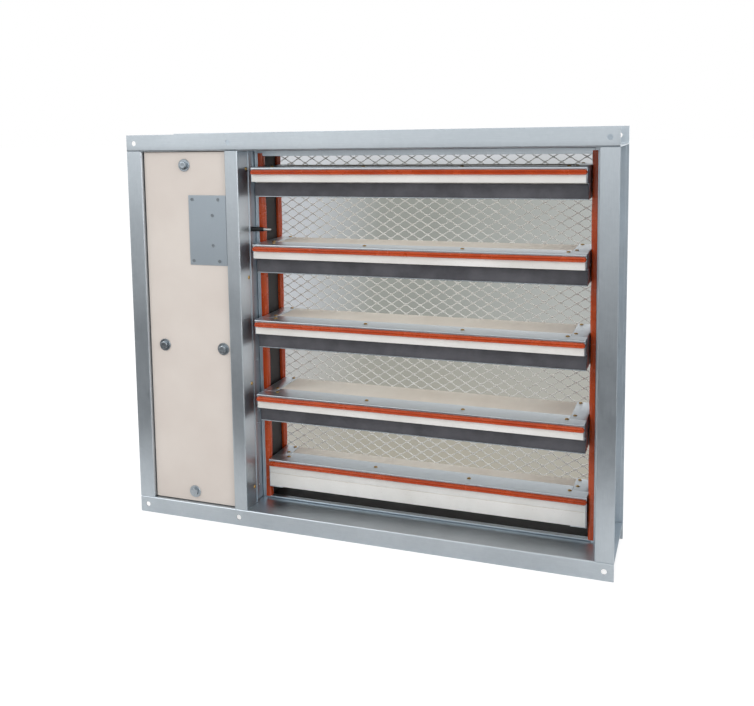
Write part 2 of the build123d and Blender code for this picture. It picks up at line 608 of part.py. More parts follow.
def actuator():
    """The spring-return actuator, its bracket on the wall and its clamp on the lead shaft."""
    side = (PIVOT_Y - ACTUATOR_AHEAD, PIVOT_Y - ACTUATOR_AHEAD + ACTUATOR_WIDTH)
    low = ACTUATOR_LOW
    body = block((ACTUATOR_LEFT, ACTUATOR_RIGHT), side, (low, low + ACTUATOR_HEIGHT))
    body = fillet(body.edges().filter_by(Axis.X), ACTUATOR_ROUND)
    hole = SHAFT + 2 * SHAFT_HOLE_GAP
    shaft_hole = rod_along_x(hole, (ACTUATOR_LEFT - PAST, PLATE_FACE + PAST), PIVOT_Y, LEAD_PIVOT)
    body -= shaft_hole

    half = BRACKET_SHEET / 2
    web = REAR - CASING_SHEET - COVER - BRACKET_COVER_GAP - half
    plate_x = PLATE_FACE - half
    outline = trace(FilletPolyline(
        (plate_x, side[0] - BRACKET_EDGE), (plate_x, web), (WALL_BACK - half, web),
        (WALL_BACK - half, web - BRACKET_FOOT), radius=BEND), line_width=BRACKET_SHEET)
    bracket = along_z(outline, (low - BRACKET_MARGIN, low + ACTUATOR_HEIGHT + BRACKET_MARGIN))
    bracket -= shaft_hole

    clamp = rod_along_x(CLAMP, (ACTUATOR_LEFT - CLAMP_LENGTH, ACTUATOR_LEFT - CRANK_GAP), PIVOT_Y, LEAD_PIVOT)
    middle = ACTUATOR_LEFT - CLAMP_LENGTH / 2
    for y in (PIVOT_Y - CLAMP / 3, PIVOT_Y + CLAMP / 3):
        clamp += Pos(middle, y, LEAD_PIVOT + CLAMP / 4) * Cylinder(CLAMP_SCREW / 2, CLAMP)
    clamp -= rod_along_x(SHAFT, (ACTUATOR_LEFT - CLAMP_LENGTH - PAST, ACTUATOR_LEFT), PIVOT_Y, LEAD_PIVOT)
    return {"actuator": [body], "actuator_bracket": [bracket], "actuator_clamp": [clamp]}


def cover_ledges():
    """Angles on the stile and on the wall, which the rear cover rests against."""
    half = CASING_SHEET / 2
    face = REAR - CASING_SHEET - COVER - half
    top = ACTUATOR_LOW - BRACKET_MARGIN - LEDGE_DROP
    pieces = []
    for side, inward in ((CHAMBER_LEFT, 1), (WALL_BACK, -1)):
        section = bent_sheet(
            (side + inward * LEDGE_WIDTH, face), (side + inward * half, face),
            (side + inward * half, face - LEDGE_WIDTH))
        pieces.append(along_z(section, (top - LEDGE_LENGTH, top)))
    return {"cover_ledges": pieces}


def cover_bolt_places():
    """Places of the four bolts that hold each cover."""
    middle = CHAMBER_LEFT + CHAMBER_WIDTH / 2
    side = FLOOR + SIDE_BOLT_HEIGHT
    return [
        (middle, CEILING - TOP_BOLT_INSET), (middle, FLOOR + BOTTOM_BOLT_INSET),
        (CHAMBER_LEFT + LEFT_BOLT_INSET, side), (POST_LEFT - RIGHT_BOLT_INSET, side)]


def covers():
    """The boards that close the chamber, the spacers between them, and their bolts and washers."""
    front = (FRONT + COVER_SETBACK, FRONT + COVER_SETBACK + COVER)
    rear = (REAR - CASING_SHEET - COVER, REAR - CASING_SHEET)
    places = cover_bolt_places()
    hole = COVER_BOLT + 2 * BOLT_HOLE_GAP
    left = CHAMBER_LEFT + COVER_GAP
    clear = CASING_SHEET + COVER_GAP
    front_board = block((left, POST_LEFT - COVER_GAP), front, (FLOOR + COVER_GAP, CEILING - COVER_GAP))
    rear_board = block((left, WALL_BACK - COVER_GAP), rear, (FLOOR + clear, CEILING - clear))
    spacers, bolts, washers = [], [], []
    for x, z in places:
        front_board -= rod_along_y(hole, (front[0] - PAST, front[1] + PAST), x, z)
        rear_board -= rod_along_y(hole, (rear[0] - PAST, rear[1] + PAST), x, z)
        spacer = rod_along_y(SPACER, (front[1], rear[0]), x, z)
        for face, outward in ((front[0], -1), (rear[1], 1)):
            seat = face + outward * WASHER_THICKNESS
            tip = seat - outward * BOLT_LENGTH
            thread = sorted((seat, tip - outward * PAST))
            spacer -= rod_along_y(COVER_BOLT + 2 * BOLT_THREAD_GAP, thread, x, z)
            washer = rod_along_y(WASHER, sorted((face, seat)), x, z)
            through = sorted((face - outward * PAST, seat + outward * PAST))
            washers.append(washer - rod_along_y(hole, through, x, z))
            top = seat + outward * BOLT_HEAD_HEIGHT
            hexagon = RegularPolygon(BOLT_HEAD / 2, 6, major_radius=False)
            head = along_y(Pos(x, z) * hexagon, sorted((seat, top)))
            bolts.append(head + rod_along_y(COVER_BOLT, sorted((tip, seat)), x, z))
        spacers.append(spacer)
    return {
        "front_cover": [front_board], "rear_cover": [rear_board], "cover_spacers": spacers,
        "cover_bolts": bolts, "cover_washers": washers}


def service_plate():
    """The sheet plate on the front cover, and its six screws."""
    right = POST_LEFT - PLATE_POST_GAP
    left = right - PLATE_WIDTH
    top = CEILING - PLATE_DROP
    low = top - PLATE_HEIGHT
    back = FRONT + COVER_SETBACK
    plate = block((left, right), (back - PLATE_SHEET, back), (low, top))
    middle = (low + top) / 2
    places = [(x, z) for x in (left + PLATE_SCREW_LEFT, right - PLATE_SCREW_RIGHT)
              for z in (low + PLATE_SCREW_END, top - PLATE_SCREW_END)]
    places += [(right - PLATE_INNER_SCREW, middle + side * PLATE_INNER_PITCH / 2) for side in (-1, 1)]
    face = back - PLATE_SHEET
    head = RegularPolygon(PLATE_SCREW / 2, SCREW_SIDES)
    screws = [along_y(Pos(x, z) * head, (face - PLATE_SCREW_HEIGHT, face)) for x, z in places]
    return {"service_plate": [plate], "service_plate_screws": screws}


def wall_fixings():
    """Screws on the post's duct side, and rivets that hold the linings to the wall."""
    head = RegularPolygon(SCREW_HEAD / 2, SCREW_SIDES)
    rivet = RegularPolygon(RIVET / 2, SCREW_SIDES)
    pieces = []
    screwed = (POST_RIGHT, POST_RIGHT + SCREW_HEAD_HEIGHT)
    riveted = (DUCT_LEFT, DUCT_LEFT + RIVET_HEIGHT)
    for z in spread(POST_SCREWS, FLOOR + POST_SCREW_END, CEILING - POST_SCREW_END):
        pieces.append(along_x(Pos(POST_LEG_END - POST_SCREW_EDGE, z) * head, screwed))
    for z in spread(RIVETS, FLOOR + RIVET_END, CEILING - RIVET_END):
        pieces.append(along_x(Pos(FRONT_STOP_FACE - RIVET_AHEAD, z) * rivet, riveted))
    return {"wall_fixings": pieces}


def trip_sensor():
    """The sensor's housing with its tapered nose, and the metal tip in the air stream."""
    y = SENSOR_Y
    z = SENSOR_Z
    box_middle = y - SENSOR_BOX_OFFSET
    box = block(
        (WALL_BACK - SENSOR_BOX_DEPTH, WALL_BACK),
        (box_middle - SENSOR_BOX_WIDTH / 2, box_middle + SENSOR_BOX_WIDTH / 2),
        (z - SENSOR_BOX_HEIGHT / 2, z + SENSOR_BOX_HEIGHT / 2))
    nose_end = DUCT_LEFT + SENSOR_NOSE_LENGTH
    neck = rod_along_x(SENSOR_BASE, (WALL_BACK, DUCT_LEFT), y, z)
    cone = Pos((DUCT_LEFT + nose_end) / 2, y, z) * Rot(0, 90, 0) * Cone(
        SENSOR_BASE / 2, SENSOR_NOSE / 2, SENSOR_NOSE_LENGTH)
    tip = rod_along_x(SENSOR_TIP, (nose_end, nose_end + SENSOR_TIP_LENGTH), y, z)
    return {"trip_sensor": [box + neck + cone], "trip_sensor_tip": [tip]}


def write(nodes):
    """Write each node's solids to a file of its own."""
    os.makedirs("parts", exist_ok=True)
    for name, shapes in nodes.items():
        solids = [solid for shape in shapes for solid in shape.solids()]
        export_step(Compound(solids), f"parts/{name}.step")


nodes = {}
for group in (casing, divider, guard, stops, linings, side_seals, bushes, tie_bar, actuator,
              cover_ledges, covers, service_plate, wall_fixings, trip_sensor):
    nodes.update(group())
for number in range(1, BLADES + 1):
    nodes.update(blade(number))
write(nodes)
print(len(nodes), "parts written")
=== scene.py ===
# %% [markdown]
# # A multi-blade fire damper
#
# The CAD model is a frame that is already in its place: every part of it sits where it
# sits on the real damper. This notebook gives those parts their finishes, and puts finer
# surfaces over the ones that a plain solid cannot show well, such as the rubber seals,
# the expanded mesh and the screws.

# %% Load the frame
import json
import math
import bmesh
import bpy
import numpy as np
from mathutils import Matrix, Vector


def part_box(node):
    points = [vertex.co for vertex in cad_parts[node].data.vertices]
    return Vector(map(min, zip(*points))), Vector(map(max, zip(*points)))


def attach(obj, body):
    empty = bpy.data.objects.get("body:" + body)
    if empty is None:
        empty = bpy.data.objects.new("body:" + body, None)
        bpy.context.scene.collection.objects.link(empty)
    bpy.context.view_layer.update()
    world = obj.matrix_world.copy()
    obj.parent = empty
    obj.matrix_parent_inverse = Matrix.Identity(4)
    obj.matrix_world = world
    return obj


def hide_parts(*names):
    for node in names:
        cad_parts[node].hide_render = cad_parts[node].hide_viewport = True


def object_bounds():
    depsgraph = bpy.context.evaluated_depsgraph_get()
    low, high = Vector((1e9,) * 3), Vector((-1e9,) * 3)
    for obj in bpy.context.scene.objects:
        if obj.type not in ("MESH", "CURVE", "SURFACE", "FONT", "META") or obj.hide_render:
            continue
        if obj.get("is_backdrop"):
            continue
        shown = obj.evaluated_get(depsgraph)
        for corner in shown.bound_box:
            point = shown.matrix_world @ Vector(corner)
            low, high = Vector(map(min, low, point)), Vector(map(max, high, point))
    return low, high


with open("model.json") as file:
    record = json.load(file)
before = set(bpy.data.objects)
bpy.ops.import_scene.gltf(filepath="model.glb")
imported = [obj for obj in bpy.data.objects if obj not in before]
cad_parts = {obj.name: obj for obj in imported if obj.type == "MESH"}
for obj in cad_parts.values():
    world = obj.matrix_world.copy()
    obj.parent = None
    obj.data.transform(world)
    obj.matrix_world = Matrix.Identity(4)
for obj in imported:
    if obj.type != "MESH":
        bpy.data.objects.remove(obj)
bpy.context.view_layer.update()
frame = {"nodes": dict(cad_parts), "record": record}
nodes = frame["nodes"]
MM = 0.001

# %% [markdown]
# ## Where the photographer stood
#
# The lines of the casing in the photograph say where the camera was: to the right of the
# middle, a little above the top, and 1.7 metres away. The picture was cropped off centre,
# which is the lens shift. The three rows are the camera's right, its up and its back.

# %% Camera
IMAGE_WIDTH, IMAGE_HEIGHT = 754, 706
FOCAL_PIXELS = 966.7
OPTICAL_CENTRE = (310.0, 235.0)
camera_axes = np.array([
    (0.92541, 0.37840, -0.02074),
    (-0.02399, 0.11311, 0.99329),
    (0.37821, -0.91870, 0.11375)])
camera_data = bpy.data.cameras.new("camera")
camera = bpy.data.objects.new("camera", camera_data)
bpy.context.scene.collection.objects.link(camera)
placed = np.eye(4)
placed[:3, :3] = camera_axes.T
placed[:3, 3] = (0.54945, -1.60005, 0.72317)
camera.matrix_world = placed.T.tolist()
camera_data.sensor_width = 36.0
camera_data.lens = FOCAL_PIXELS * camera_data.sensor_width / IMAGE_WIDTH
camera_data.shift_x = (IMAGE_WIDTH / 2 - OPTICAL_CENTRE[0]) / IMAGE_WIDTH
camera_data.shift_y = (OPTICAL_CENTRE[1] - IMAGE_HEIGHT / 2) / IMAGE_WIDTH
bpy.context.scene.camera = camera
bpy.context.scene.view_settings.view_transform = "Standard"
print("lens", round(camera_data.lens, 1), "mm")

# %% [markdown]
# ## Shader helpers
#
# Every finish starts from one Principled shader. The small helpers below add a node, set
# its values and join it to what feeds it, so that each finish reads as a short list.

# %% Helpers for finishes
def srgb(red, green, blue):
    """A colour as a screen shows it, 0 to 255, turned into the linear values that light uses."""
    share = np.array([red, green, blue]) / 255
    return (*np.where(share <= 0.04045, share / 12.92, ((share + 0.055) / 1.055) ** 2.4), 1.0)


def add(tree, kind, inputs=(), **settings):
    """One node. Settings are its properties, inputs are pairs of a socket and its value or what feeds it."""
    made = tree.nodes.new(kind)
    for name, value in settings.items():
        setattr(made, name, value)
    for name, value in inputs:
        if isinstance(value, bpy.types.NodeSocket):
            tree.links.new(value, made.inputs[name])
        else:
            made.inputs[name].default_value = value
    return made


def group(name, inputs, outputs):
    """An empty shader group. Inputs are (name, kind, value), outputs are (name, kind)."""
    tree = bpy.data.node_groups.new(name, "ShaderNodeTree")
    for label, kind, value in inputs:
        socket = tree.interface.new_socket(label, in_out="INPUT", socket_type="NodeSocket" + kind)
        socket.default_value = value
    for label, kind in outputs:
        tree.interface.new_socket(label, in_out="OUTPUT", socket_type="NodeSocket" + kind)
    return tree, add(tree, "NodeGroupInput").outputs, add(tree, "NodeGroupOutput").inputs


def ramp(tree, source, low, high, start=0.0, end=1.0):
    """Turns a value between start and end into one between low and high."""
    return add(tree, "ShaderNodeMapRange", [
        ("Value", source), ("From Min", start), ("From Max", end),
        ("To Min", low), ("To Max", high)]).outputs[0]


def mixed(tree, factor, first, second):
    """A colour between two, by a factor from 0 to 1."""
    made = add(tree, "ShaderNodeMix", data_type="RGBA")
    for place, value in ((0, factor), (6, first), (7, second)):
        if isinstance(value, bpy.types.NodeSocket):
            tree.links.new(value, made.inputs[place])
        else:
            made.inputs[place].default_value = value
    return made.outputs[2]


def finish(name):
    """A new material: its node tree and its Principled shader."""
    made = bpy.data.materials.new(name)
    made.use_nodes = True
    return made, made.node_tree, made.node_tree.nodes["Principled BSDF"]


def feed(tree, shader, height, strength, distance=MM, **values):
    """Bump from a height, and sockets of the shader fed or set by name."""
    bump = add(tree, "ShaderNodeBump", [("Strength", strength), ("Distance", distance), ("Height", height)])
    tree.links.new(bump.outputs[0], shader.inputs["Normal"])
    for label, value in values.items():
        socket = shader.inputs[label.replace("_", " ")]
        if isinstance(value, bpy.types.NodeSocket):
            tree.links.new(value, socket)
        else:
            socket.default_value = value


# %% [markdown]
# ## Zinc on steel
#
# Hot-dip zinc freezes into flat crystals a few millimetres wide, each a slightly
# different grey. The sheet was rolled and handled, so faint lines run along each piece
# and broad cloudy patches lie over it. The group puts out one value for the crystals, one
# for the lines and one for the clouds, and each finish mixes them in its own way.

# %% Zinc group
zinc, given, result = group(
    "zinc coat", [("Crystal size", "Float", 9 * MM), ("Along", "Vector", (1.0, 1.0, 1.0))],
    [("Crystals", "Float"), ("Lines", "Float"), ("Clouds", "Float")])
place = add(zinc, "ShaderNodeTexCoord").outputs["Object"]
per_metre = add(zinc, "ShaderNodeMath", [(0, 1.0), (1, given["Crystal size"])], operation="DIVIDE").outputs[0]
ripple = add(zinc, "ShaderNodeTexNoise", [("Vector", place), ("Scale", 160.0), ("Detail", 2.0)])
warp = ripple.outputs["Color"]
bent = add(zinc, "ShaderNodeMix", [("Factor", 0.006), (4, place), (5, warp)], data_type="VECTOR").outputs[1]
cells = add(zinc, "ShaderNodeTexVoronoi", [("Vector", bent), ("Scale", per_metre)])
grey = add(zinc, "ShaderNodeSeparateColor", [("Color", cells.outputs["Color"])]).outputs[0]
zinc.links.new(grey, result["Crystals"])
drawn = add(zinc, "ShaderNodeVectorMath", [(0, place), (1, given["Along"])], operation="MULTIPLY").outputs[0]
lines = add(zinc, "ShaderNodeTexNoise", [
    ("Vector", drawn), ("Scale", 900.0), ("Detail", 3.0), ("Roughness", 0.6)])
zinc.links.new(lines.outputs["Fac"], result["Lines"])
clouds = add(zinc, "ShaderNodeTexNoise", [
    ("Vector", place), ("Scale", 7.0), ("Detail", 4.0), ("Roughness", 0.55)])
zinc.links.new(clouds.outputs["Fac"], result["Clouds"])


def zinc_finish(name, dark, light, roughness, along=(1, 1, 1), crystal=6 * MM, spangle=0.12):
    """A zinc-coated metal between two greys: crystals and clouds choose the grey, lines change the gloss."""
    made, tree, shader = finish(name)
    coat = add(tree, "ShaderNodeGroup", node_tree=zinc)
    coat.inputs["Crystal size"].default_value = crystal
    coat.inputs["Along"].default_value = along
    crystals, fine, cloudy = coat.outputs
    share = add(tree, "ShaderNodeMix", [("Factor", spangle), (2, cloudy), (3, crystals)]).outputs[0]
    lined = add(tree, "ShaderNodeMix", [("Factor", 0.4), (2, share), (3, fine)]).outputs[0]
    colour = mixed(tree, ramp(tree, lined, 0.0, 1.0, 0.3, 0.7), dark, light)
    gloss = ramp(tree, lined, roughness - 0.06, roughness + 0.08, 0.3, 0.7)
    feed(tree, shader, fine, 0.04, 0.3 * MM, Base_Color=colour, Roughness=gloss)
    shader.inputs["Metallic"].default_value = 1.0
    return made


steel_dark, steel_light = srgb(184, 193, 200), srgb(203, 211, 217)
LENGTHWISE = 0.03           # lines are this much longer along the piece than across it
finishes = {
    "steel_across": zinc_finish(
        "galvanised, rolled across", steel_dark, steel_light, 0.36, (LENGTHWISE, 1, 1)),
    "steel_upright": zinc_finish(
        "galvanised, rolled upright", steel_dark, steel_light, 0.36, (1, 1, LENGTHWISE)),
    "zinc": zinc_finish("bright zinc", srgb(148, 158, 166), srgb(188, 196, 202), 0.3, crystal=3 * MM),
    "worn": zinc_finish("dull zinc", srgb(128, 136, 142), srgb(158, 165, 170), 0.45, crystal=2 * MM),
    "gold": zinc_finish("yellow zinc", srgb(150, 116, 62), srgb(206, 172, 104), 0.3, crystal=2 * MM),
    "bronze": zinc_finish("bearing bronze", srgb(150, 110, 60), srgb(190, 150, 90), 0.4, crystal=2 * MM),
    "bare": zinc_finish("bare steel", srgb(170, 170, 168), srgb(205, 205, 202), 0.3, crystal=1 * MM),
    "plate": zinc_finish("dull zinc plate", srgb(170, 181, 190), srgb(182, 192, 200), 0.45, crystal=2 * MM),
    "mesh": zinc_finish("galvanised mesh", srgb(242, 243, 241), srgb(252, 252, 250), 0.4, crystal=4 * MM),
}
finishes["mesh"].node_tree.nodes["Principled BSDF"].inputs["Metallic"].default_value = 0.0
print(len(finishes), "metal finishes")

# %% [markdown]
# ## Fire board
#
# The blades and covers are pressed mineral board. Its faces are smooth and cream, with
# faint flecks, and a sawn edge is whiter, rougher and pitted. One group gives both: fine
# fibres, scattered flecks and slow stains.

# %% Board group
mineral, given, result = group(
    "mineral board", [("Fibre size", "Float", 900.0)],
    [("Fibres", "Float"), ("Flecks", "Float"), ("Stains", "Float")])
place = add(mineral, "ShaderNodeTexCoord").outputs["Object"]
fibres = add(mineral, "ShaderNodeTexNoise", [
    ("Vector", place), ("Scale", given["Fibre size"]), ("Detail", 4.0)])
mineral.links.new(fibres.outputs["Fac"], result["Fibres"])
dots = add(mineral, "ShaderNodeTexVoronoi", [("Vector", place), ("Scale", 210.0)]).outputs["Distance"]
mineral.links.new(ramp(mineral, dots, 1.0, 0.0, 0.05, 0.13), result["Flecks"])
stains = add(mineral, "ShaderNodeTexNoise", [("Vector", place), ("Scale", 11.0), ("Detail", 5.0)])
mineral.links.new(stains.outputs["Fac"], result["Stains"])


def board_finish(name, light, dark, fleck, fleck_share, bump, roughness=0.85):
    """Mineral board between two tones, with darker flecks over a share of it."""
    made, tree, shader = finish(name)
    fibre, flecks, stain = add(tree, "ShaderNodeGroup", node_tree=mineral).outputs
    tone = mixed(tree, ramp(tree, stain, 0.0, 1.0, 0.35, 0.65), light, dark)
    rough = ramp(tree, fibre, 0.0, 1.0, 0.25, 0.75)
    toned = mixed(tree, add(tree, "ShaderNodeMath", [(0, rough), (1, 0.35)], operation="MULTIPLY").outputs[0],
                  tone, dark)
    seen = add(tree, "ShaderNodeMath", [(0, flecks), (1, fleck_share)], operation="MULTIPLY").outputs[0]
    feed(tree, shader, fibre, bump, 0.4 * MM, Base_Color=mixed(tree, seen, toned, fleck), Roughness=roughness)
    shader.inputs["Specular IOR Level"].default_value = 0.25
    return made


finishes["board"] = board_finish(
    "fire board face", srgb(237, 233, 225), srgb(227, 220, 210), srgb(186, 172, 156), 0.2, 0.15)
finishes["cover"] = board_finish(
    "cover board face", srgb(214, 206, 199), srgb(208, 199, 192), srgb(190, 178, 166), 0.12, 0.1)
finishes["board_edge"] = board_finish(
    "sawn board edge", srgb(231, 231, 229), srgb(215, 214, 210), srgb(150, 138, 122), 0.4, 0.6)
print("board finishes ready")

# %% [markdown]
# ## Rubber, strip and plastic
#
# The seals are orange-red silicone, cast with a satin skin. The swelling strip is dark and
# dull. Both are one soft noise for the tone and one fine noise for the skin.

# %% Soft and moulded finishes
skin_group, given, result = group(
    "cast skin", [("Grain", "Float", 1500.0)], [("Tone", "Float"), ("Skin", "Float")])
place = add(skin_group, "ShaderNodeTexCoord").outputs["Object"]
tone = add(skin_group, "ShaderNodeTexNoise", [
    ("Vector", place), ("Scale", 24.0), ("Detail", 5.0), ("Roughness", 0.6)])
fine = add(skin_group, "ShaderNodeTexNoise", [("Vector", place), ("Scale", given["Grain"]), ("Detail", 2.0)])
skin_group.links.new(tone.outputs["Fac"], result["Tone"])
skin_group.links.new(fine.outputs["Fac"], result["Skin"])


def cast_finish(name, dark, light, roughness, bump, grain=1500.0, level=0.5):
    """Rubber, felt or plastic between two tones."""
    made, tree, shader = finish(name)
    skin = add(tree, "ShaderNodeGroup", [("Grain", grain)], node_tree=skin_group)
    colour = mixed(tree, ramp(tree, skin.outputs[0], 0.0, 1.0, 0.35, 0.65), dark, light)
    gloss = ramp(tree, skin.outputs[0], roughness - 0.05, roughness + 0.08, 0.3, 0.7)
    feed(tree, shader, skin.outputs[1], bump, 0.2 * MM, Base_Color=colour, Roughness=gloss)
    shader.inputs["Specular IOR Level"].default_value = level
    return made


finishes["silicone"] = cast_finish("orange-red silicone", srgb(170, 58, 12), srgb(188, 72, 20), 0.24, 0.03)
finishes["strip"] = cast_finish("swelling strip", srgb(70, 70, 75), srgb(88, 88, 93), 0.8, 0.5, 2600.0, 0.3)
finishes["lining"] = cast_finish("dark lining", srgb(22, 20, 20), srgb(34, 32, 31), 0.6, 0.3, 1800.0, 0.4)
finishes["black"] = cast_finish("black plastic", srgb(18, 18, 20), srgb(28, 28, 30), 0.35, 0.15)
finishes["housing"] = cast_finish("grey housing", srgb(70, 74, 80), srgb(84, 88, 94), 0.5, 0.3)
print(len(finishes), "finishes in all")

# %% Finish of each CAD part
slot_finish = {
    "galvanised_steel": "steel_upright", "board": "board", "silicone": "silicone", "fire_strip": "strip",
    "zinc_plated": "zinc", "yellow_zinc": "gold", "bronze": "bronze", "actuator_housing": "housing",
    "black_plastic": "black", "bare_steel": "bare"}
special = {
    "top_rail": "steel_across", "bottom_rail": "steel_across", "duct_linings": "lining",
    "front_cover": "cover", "rear_cover": "cover", "service_plate": "plate"}
part_slots = {part["node"]: part["material_slot"] for part in frame["record"]["subparts"]}
for name, node in nodes.items():
    wanted = special.get(name, slot_finish[part_slots[name]])
    node.data.materials.clear()
    node.data.materials.append(finishes["steel_across" if name.endswith("steelwork") else wanted])
print("every part has a finish")

# %% [markdown]
# ## Helpers for shapes
#
# Nearly every finer surface here is a closed outline carried along a line: a board, a
# seal and a folded sheet along the blade, a mesh strand across the opening. The helpers
# keep such a surface as one array of rings. Round things, such as screws, are rings too.

# %% Rings, outlines and pieces
def sheet_object(name, points, faces):
    """A mesh object from points and faces."""
    mesh = bpy.data.meshes.new(name)
    mesh.from_pydata(points, [], faces)
    made = bpy.data.objects.new(name, mesh)
    bpy.context.scene.collection.objects.link(made)
    return made


def wander(along, seed, sizes=(0.21, 0.083, 0.037)):
    """A slow wander between about -1 and 1: the mean of one sine for each wavelength in sizes."""
    starts = np.random.default_rng(seed).uniform(0, 2 * np.pi, len(sizes))
    return sum(np.sin(2 * np.pi * along / size + start) for size, start in zip(sizes, starts)) / len(sizes)


def softened(corners, radius, steps=3):
    """A closed outline with rounded corners: (1-t)^2 a + 2t(1-t) corner + t^2 b, from side to side."""
    corner = np.array(corners, float)
    sides = [np.roll(corner, way, 0) - corner for way in (1, -1)]
    lengths = [np.linalg.norm(side, axis=1, keepdims=True) for side in sides]
    cuts = [np.minimum(np.broadcast_to(radius, len(corner))[:, None], 0.45 * length) for length in lengths]
    start, end = [corner + side / length * cut for side, length, cut in zip(sides, lengths, cuts)]
    t = np.linspace(0, 1, steps + 1)[None, :, None]
    curve = (1 - t) ** 2 * start[:, None] + 2 * t * (1 - t) * corner[:, None] + t ** 2 * end[:, None]
    return curve.reshape(-1, 2)


def carried(outline, stations, axis=0):
    """Rings: the outline, whose points are the other two coordinates in order, at each station."""
    outline = np.broadcast_to(outline, (len(stations),) + np.shape(outline)[-2:])
    line = np.broadcast_to(np.asarray(stations, float)[:, None], outline.shape[:2])
    others = [outline[..., 0], outline[..., 1]]
    return np.stack(others[:axis] + [line] + others[axis:], -1)


def slab(low, high, radius):
    """A soft-edged box: rounded rectangles along X, drawn in by radius, 0.3 radius and 0 inwards."""
    low, high = np.array(low, float), np.array(high, float)
    radius = min(radius, 0.45 * (high - low).min())
    rings = []
    for inset, step in ((1.0, 0.0), (0.3, 0.3), (0.0, 1.0)):
        y0, z0 = low[1:] + inset * radius
        y1, z1 = high[1:] - inset * radius
        rings.append((softened([(y0, z0), (y1, z0), (y1, z1), (y0, z1)], radius), step * radius))
    outlines = [outline for outline, step in rings] + [outline for outline, step in rings[::-1]]
    stations = [low[0] + step for outline, step in rings] + [high[0] - step for outline, step in rings[::-1]]
    return carried(np.array(outlines), stations)


def turned(profile, around=24, flats=0):
    """Rings about the third axis, from (radius, height) pairs. With flats, a radius is cut to those sides."""
    profile = np.array(profile, float)
    angle = np.arange(around) * 2 * np.pi / around
    cut = np.ones(around)
    if flats:
        part = 2 * np.pi / flats
        cut = 1 / np.cos((angle + part / 2) % part - part / 2)
    across = profile[:, 0, None] * cut
    if flats:
        across = np.minimum(across, profile[:, 2, None])
    return np.stack([across * np.cos(angle), across * np.sin(angle),
                     np.broadcast_to(profile[:, 1, None], across.shape)], -1)


TURNS = {"+z": ((1, 0, 0), (0, 1, 0), (0, 0, 1)), "-y": ((1, 0, 0), (0, 0, 1), (0, -1, 0)),
         "+y": ((-1, 0, 0), (0, 0, 1), (0, 1, 0)), "+x": ((0, 1, 0), (0, 0, 1), (1, 0, 0)),
         "-x": ((0, -1, 0), (0, 0, 1), (-1, 0, 0))}


def placed_at(rings, place, way="+z"):
    """Rings made about the origin, turned so that their third axis looks a given way, and moved."""
    return rings @ np.array(TURNS[way], float) + np.array(place, float)


def make_piece(name, parts, finish_names, body, node=None, slots=None, sharp=38):
    """One object from several sets of rings. Quads join ring to ring, and one face closes each end."""
    points, faces, choice, offset = [], [], [], 0
    for number, rings in enumerate(parts):
        rows, around, _ = rings.shape
        index = np.arange(rows * around).reshape(rows, around) + offset
        here, after = index[:-1], index[1:]
        quads = np.stack([here, np.roll(here, -1, 1), np.roll(after, -1, 1), after], -1).reshape(-1, 4)
        points.append(rings.reshape(-1, 3))
        faces += quads.tolist() + [index[0][::-1].tolist(), index[-1].tolist()]
        slot = 0 if slots is None else slots[number]
        one_finish = np.ndim(slot) == 0
        choice.append(np.full(len(quads) + 2, slot) if one_finish else np.append(slot.reshape(-1), [1, 1]))
        offset += rows * around
    made = sheet_object(name, np.concatenate(points).tolist(), faces)
    mesh = made.data
    mesh.polygons.foreach_set("material_index", np.concatenate(choice).astype(np.int32))
    work = bmesh.new()
    work.from_mesh(mesh)
    bmesh.ops.recalc_face_normals(work, faces=work.faces)
    work.to_mesh(mesh)
    work.free()
    mesh.polygons.foreach_set("use_smooth", np.ones(len(mesh.polygons), bool))
    mesh.set_sharp_from_angle(angle=math.radians(sharp))
    dress(made, finish_names, body, node)
    return made


def dress(made, finish_names, body, node=None):
    """Finishes, the body that a piece rides on, and the CAD part that it stands for."""
    for finish_name in finish_names:
        made.data.materials.append(finishes[finish_name])
    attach(made, body)
    if node:
        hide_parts(node)


def edged(node, width, finish_name, body, segments=2):
    """A copy of a CAD part with broken edges: points merged, flat triangles joined, then a Bevel."""
    mesh = nodes[node].data.copy()
    work = bmesh.new()
    work.from_mesh(mesh)
    bmesh.ops.remove_doubles(work, verts=work.verts, dist=1e-6)
    bmesh.ops.dissolve_limit(work, angle_limit=math.radians(0.5), verts=work.verts, edges=work.edges)
    work.to_mesh(mesh)
    work.free()
    mesh.materials.clear()
    made = bpy.data.objects.new(node + "_soft", mesh)
    bpy.context.scene.collection.objects.link(made)
    bevel = made.modifiers.new("broken edges", "BEVEL")
    bevel.width, bevel.segments, bevel.limit_method = width, segments, "ANGLE"
    bevel.angle_limit = math.radians(32)
    bevel.harden_normals = True
    mesh.polygons.foreach_set("use_smooth", np.ones(len(mesh.polygons), bool))
    mesh.set_sharp_from_angle(angle=math.radians(38))
    dress(made, [finish_name], body, node)
    return made


# %% [markdown]
# ## Casing and covers
#
# The rails, stiles, post and wall are folded sheet. The solid already has their bends, so
# the finer piece is a copy of it with the sheared edges broken by a fifth of a
# millimetre, which is what makes a cut edge of sheet show as a thin bright line.

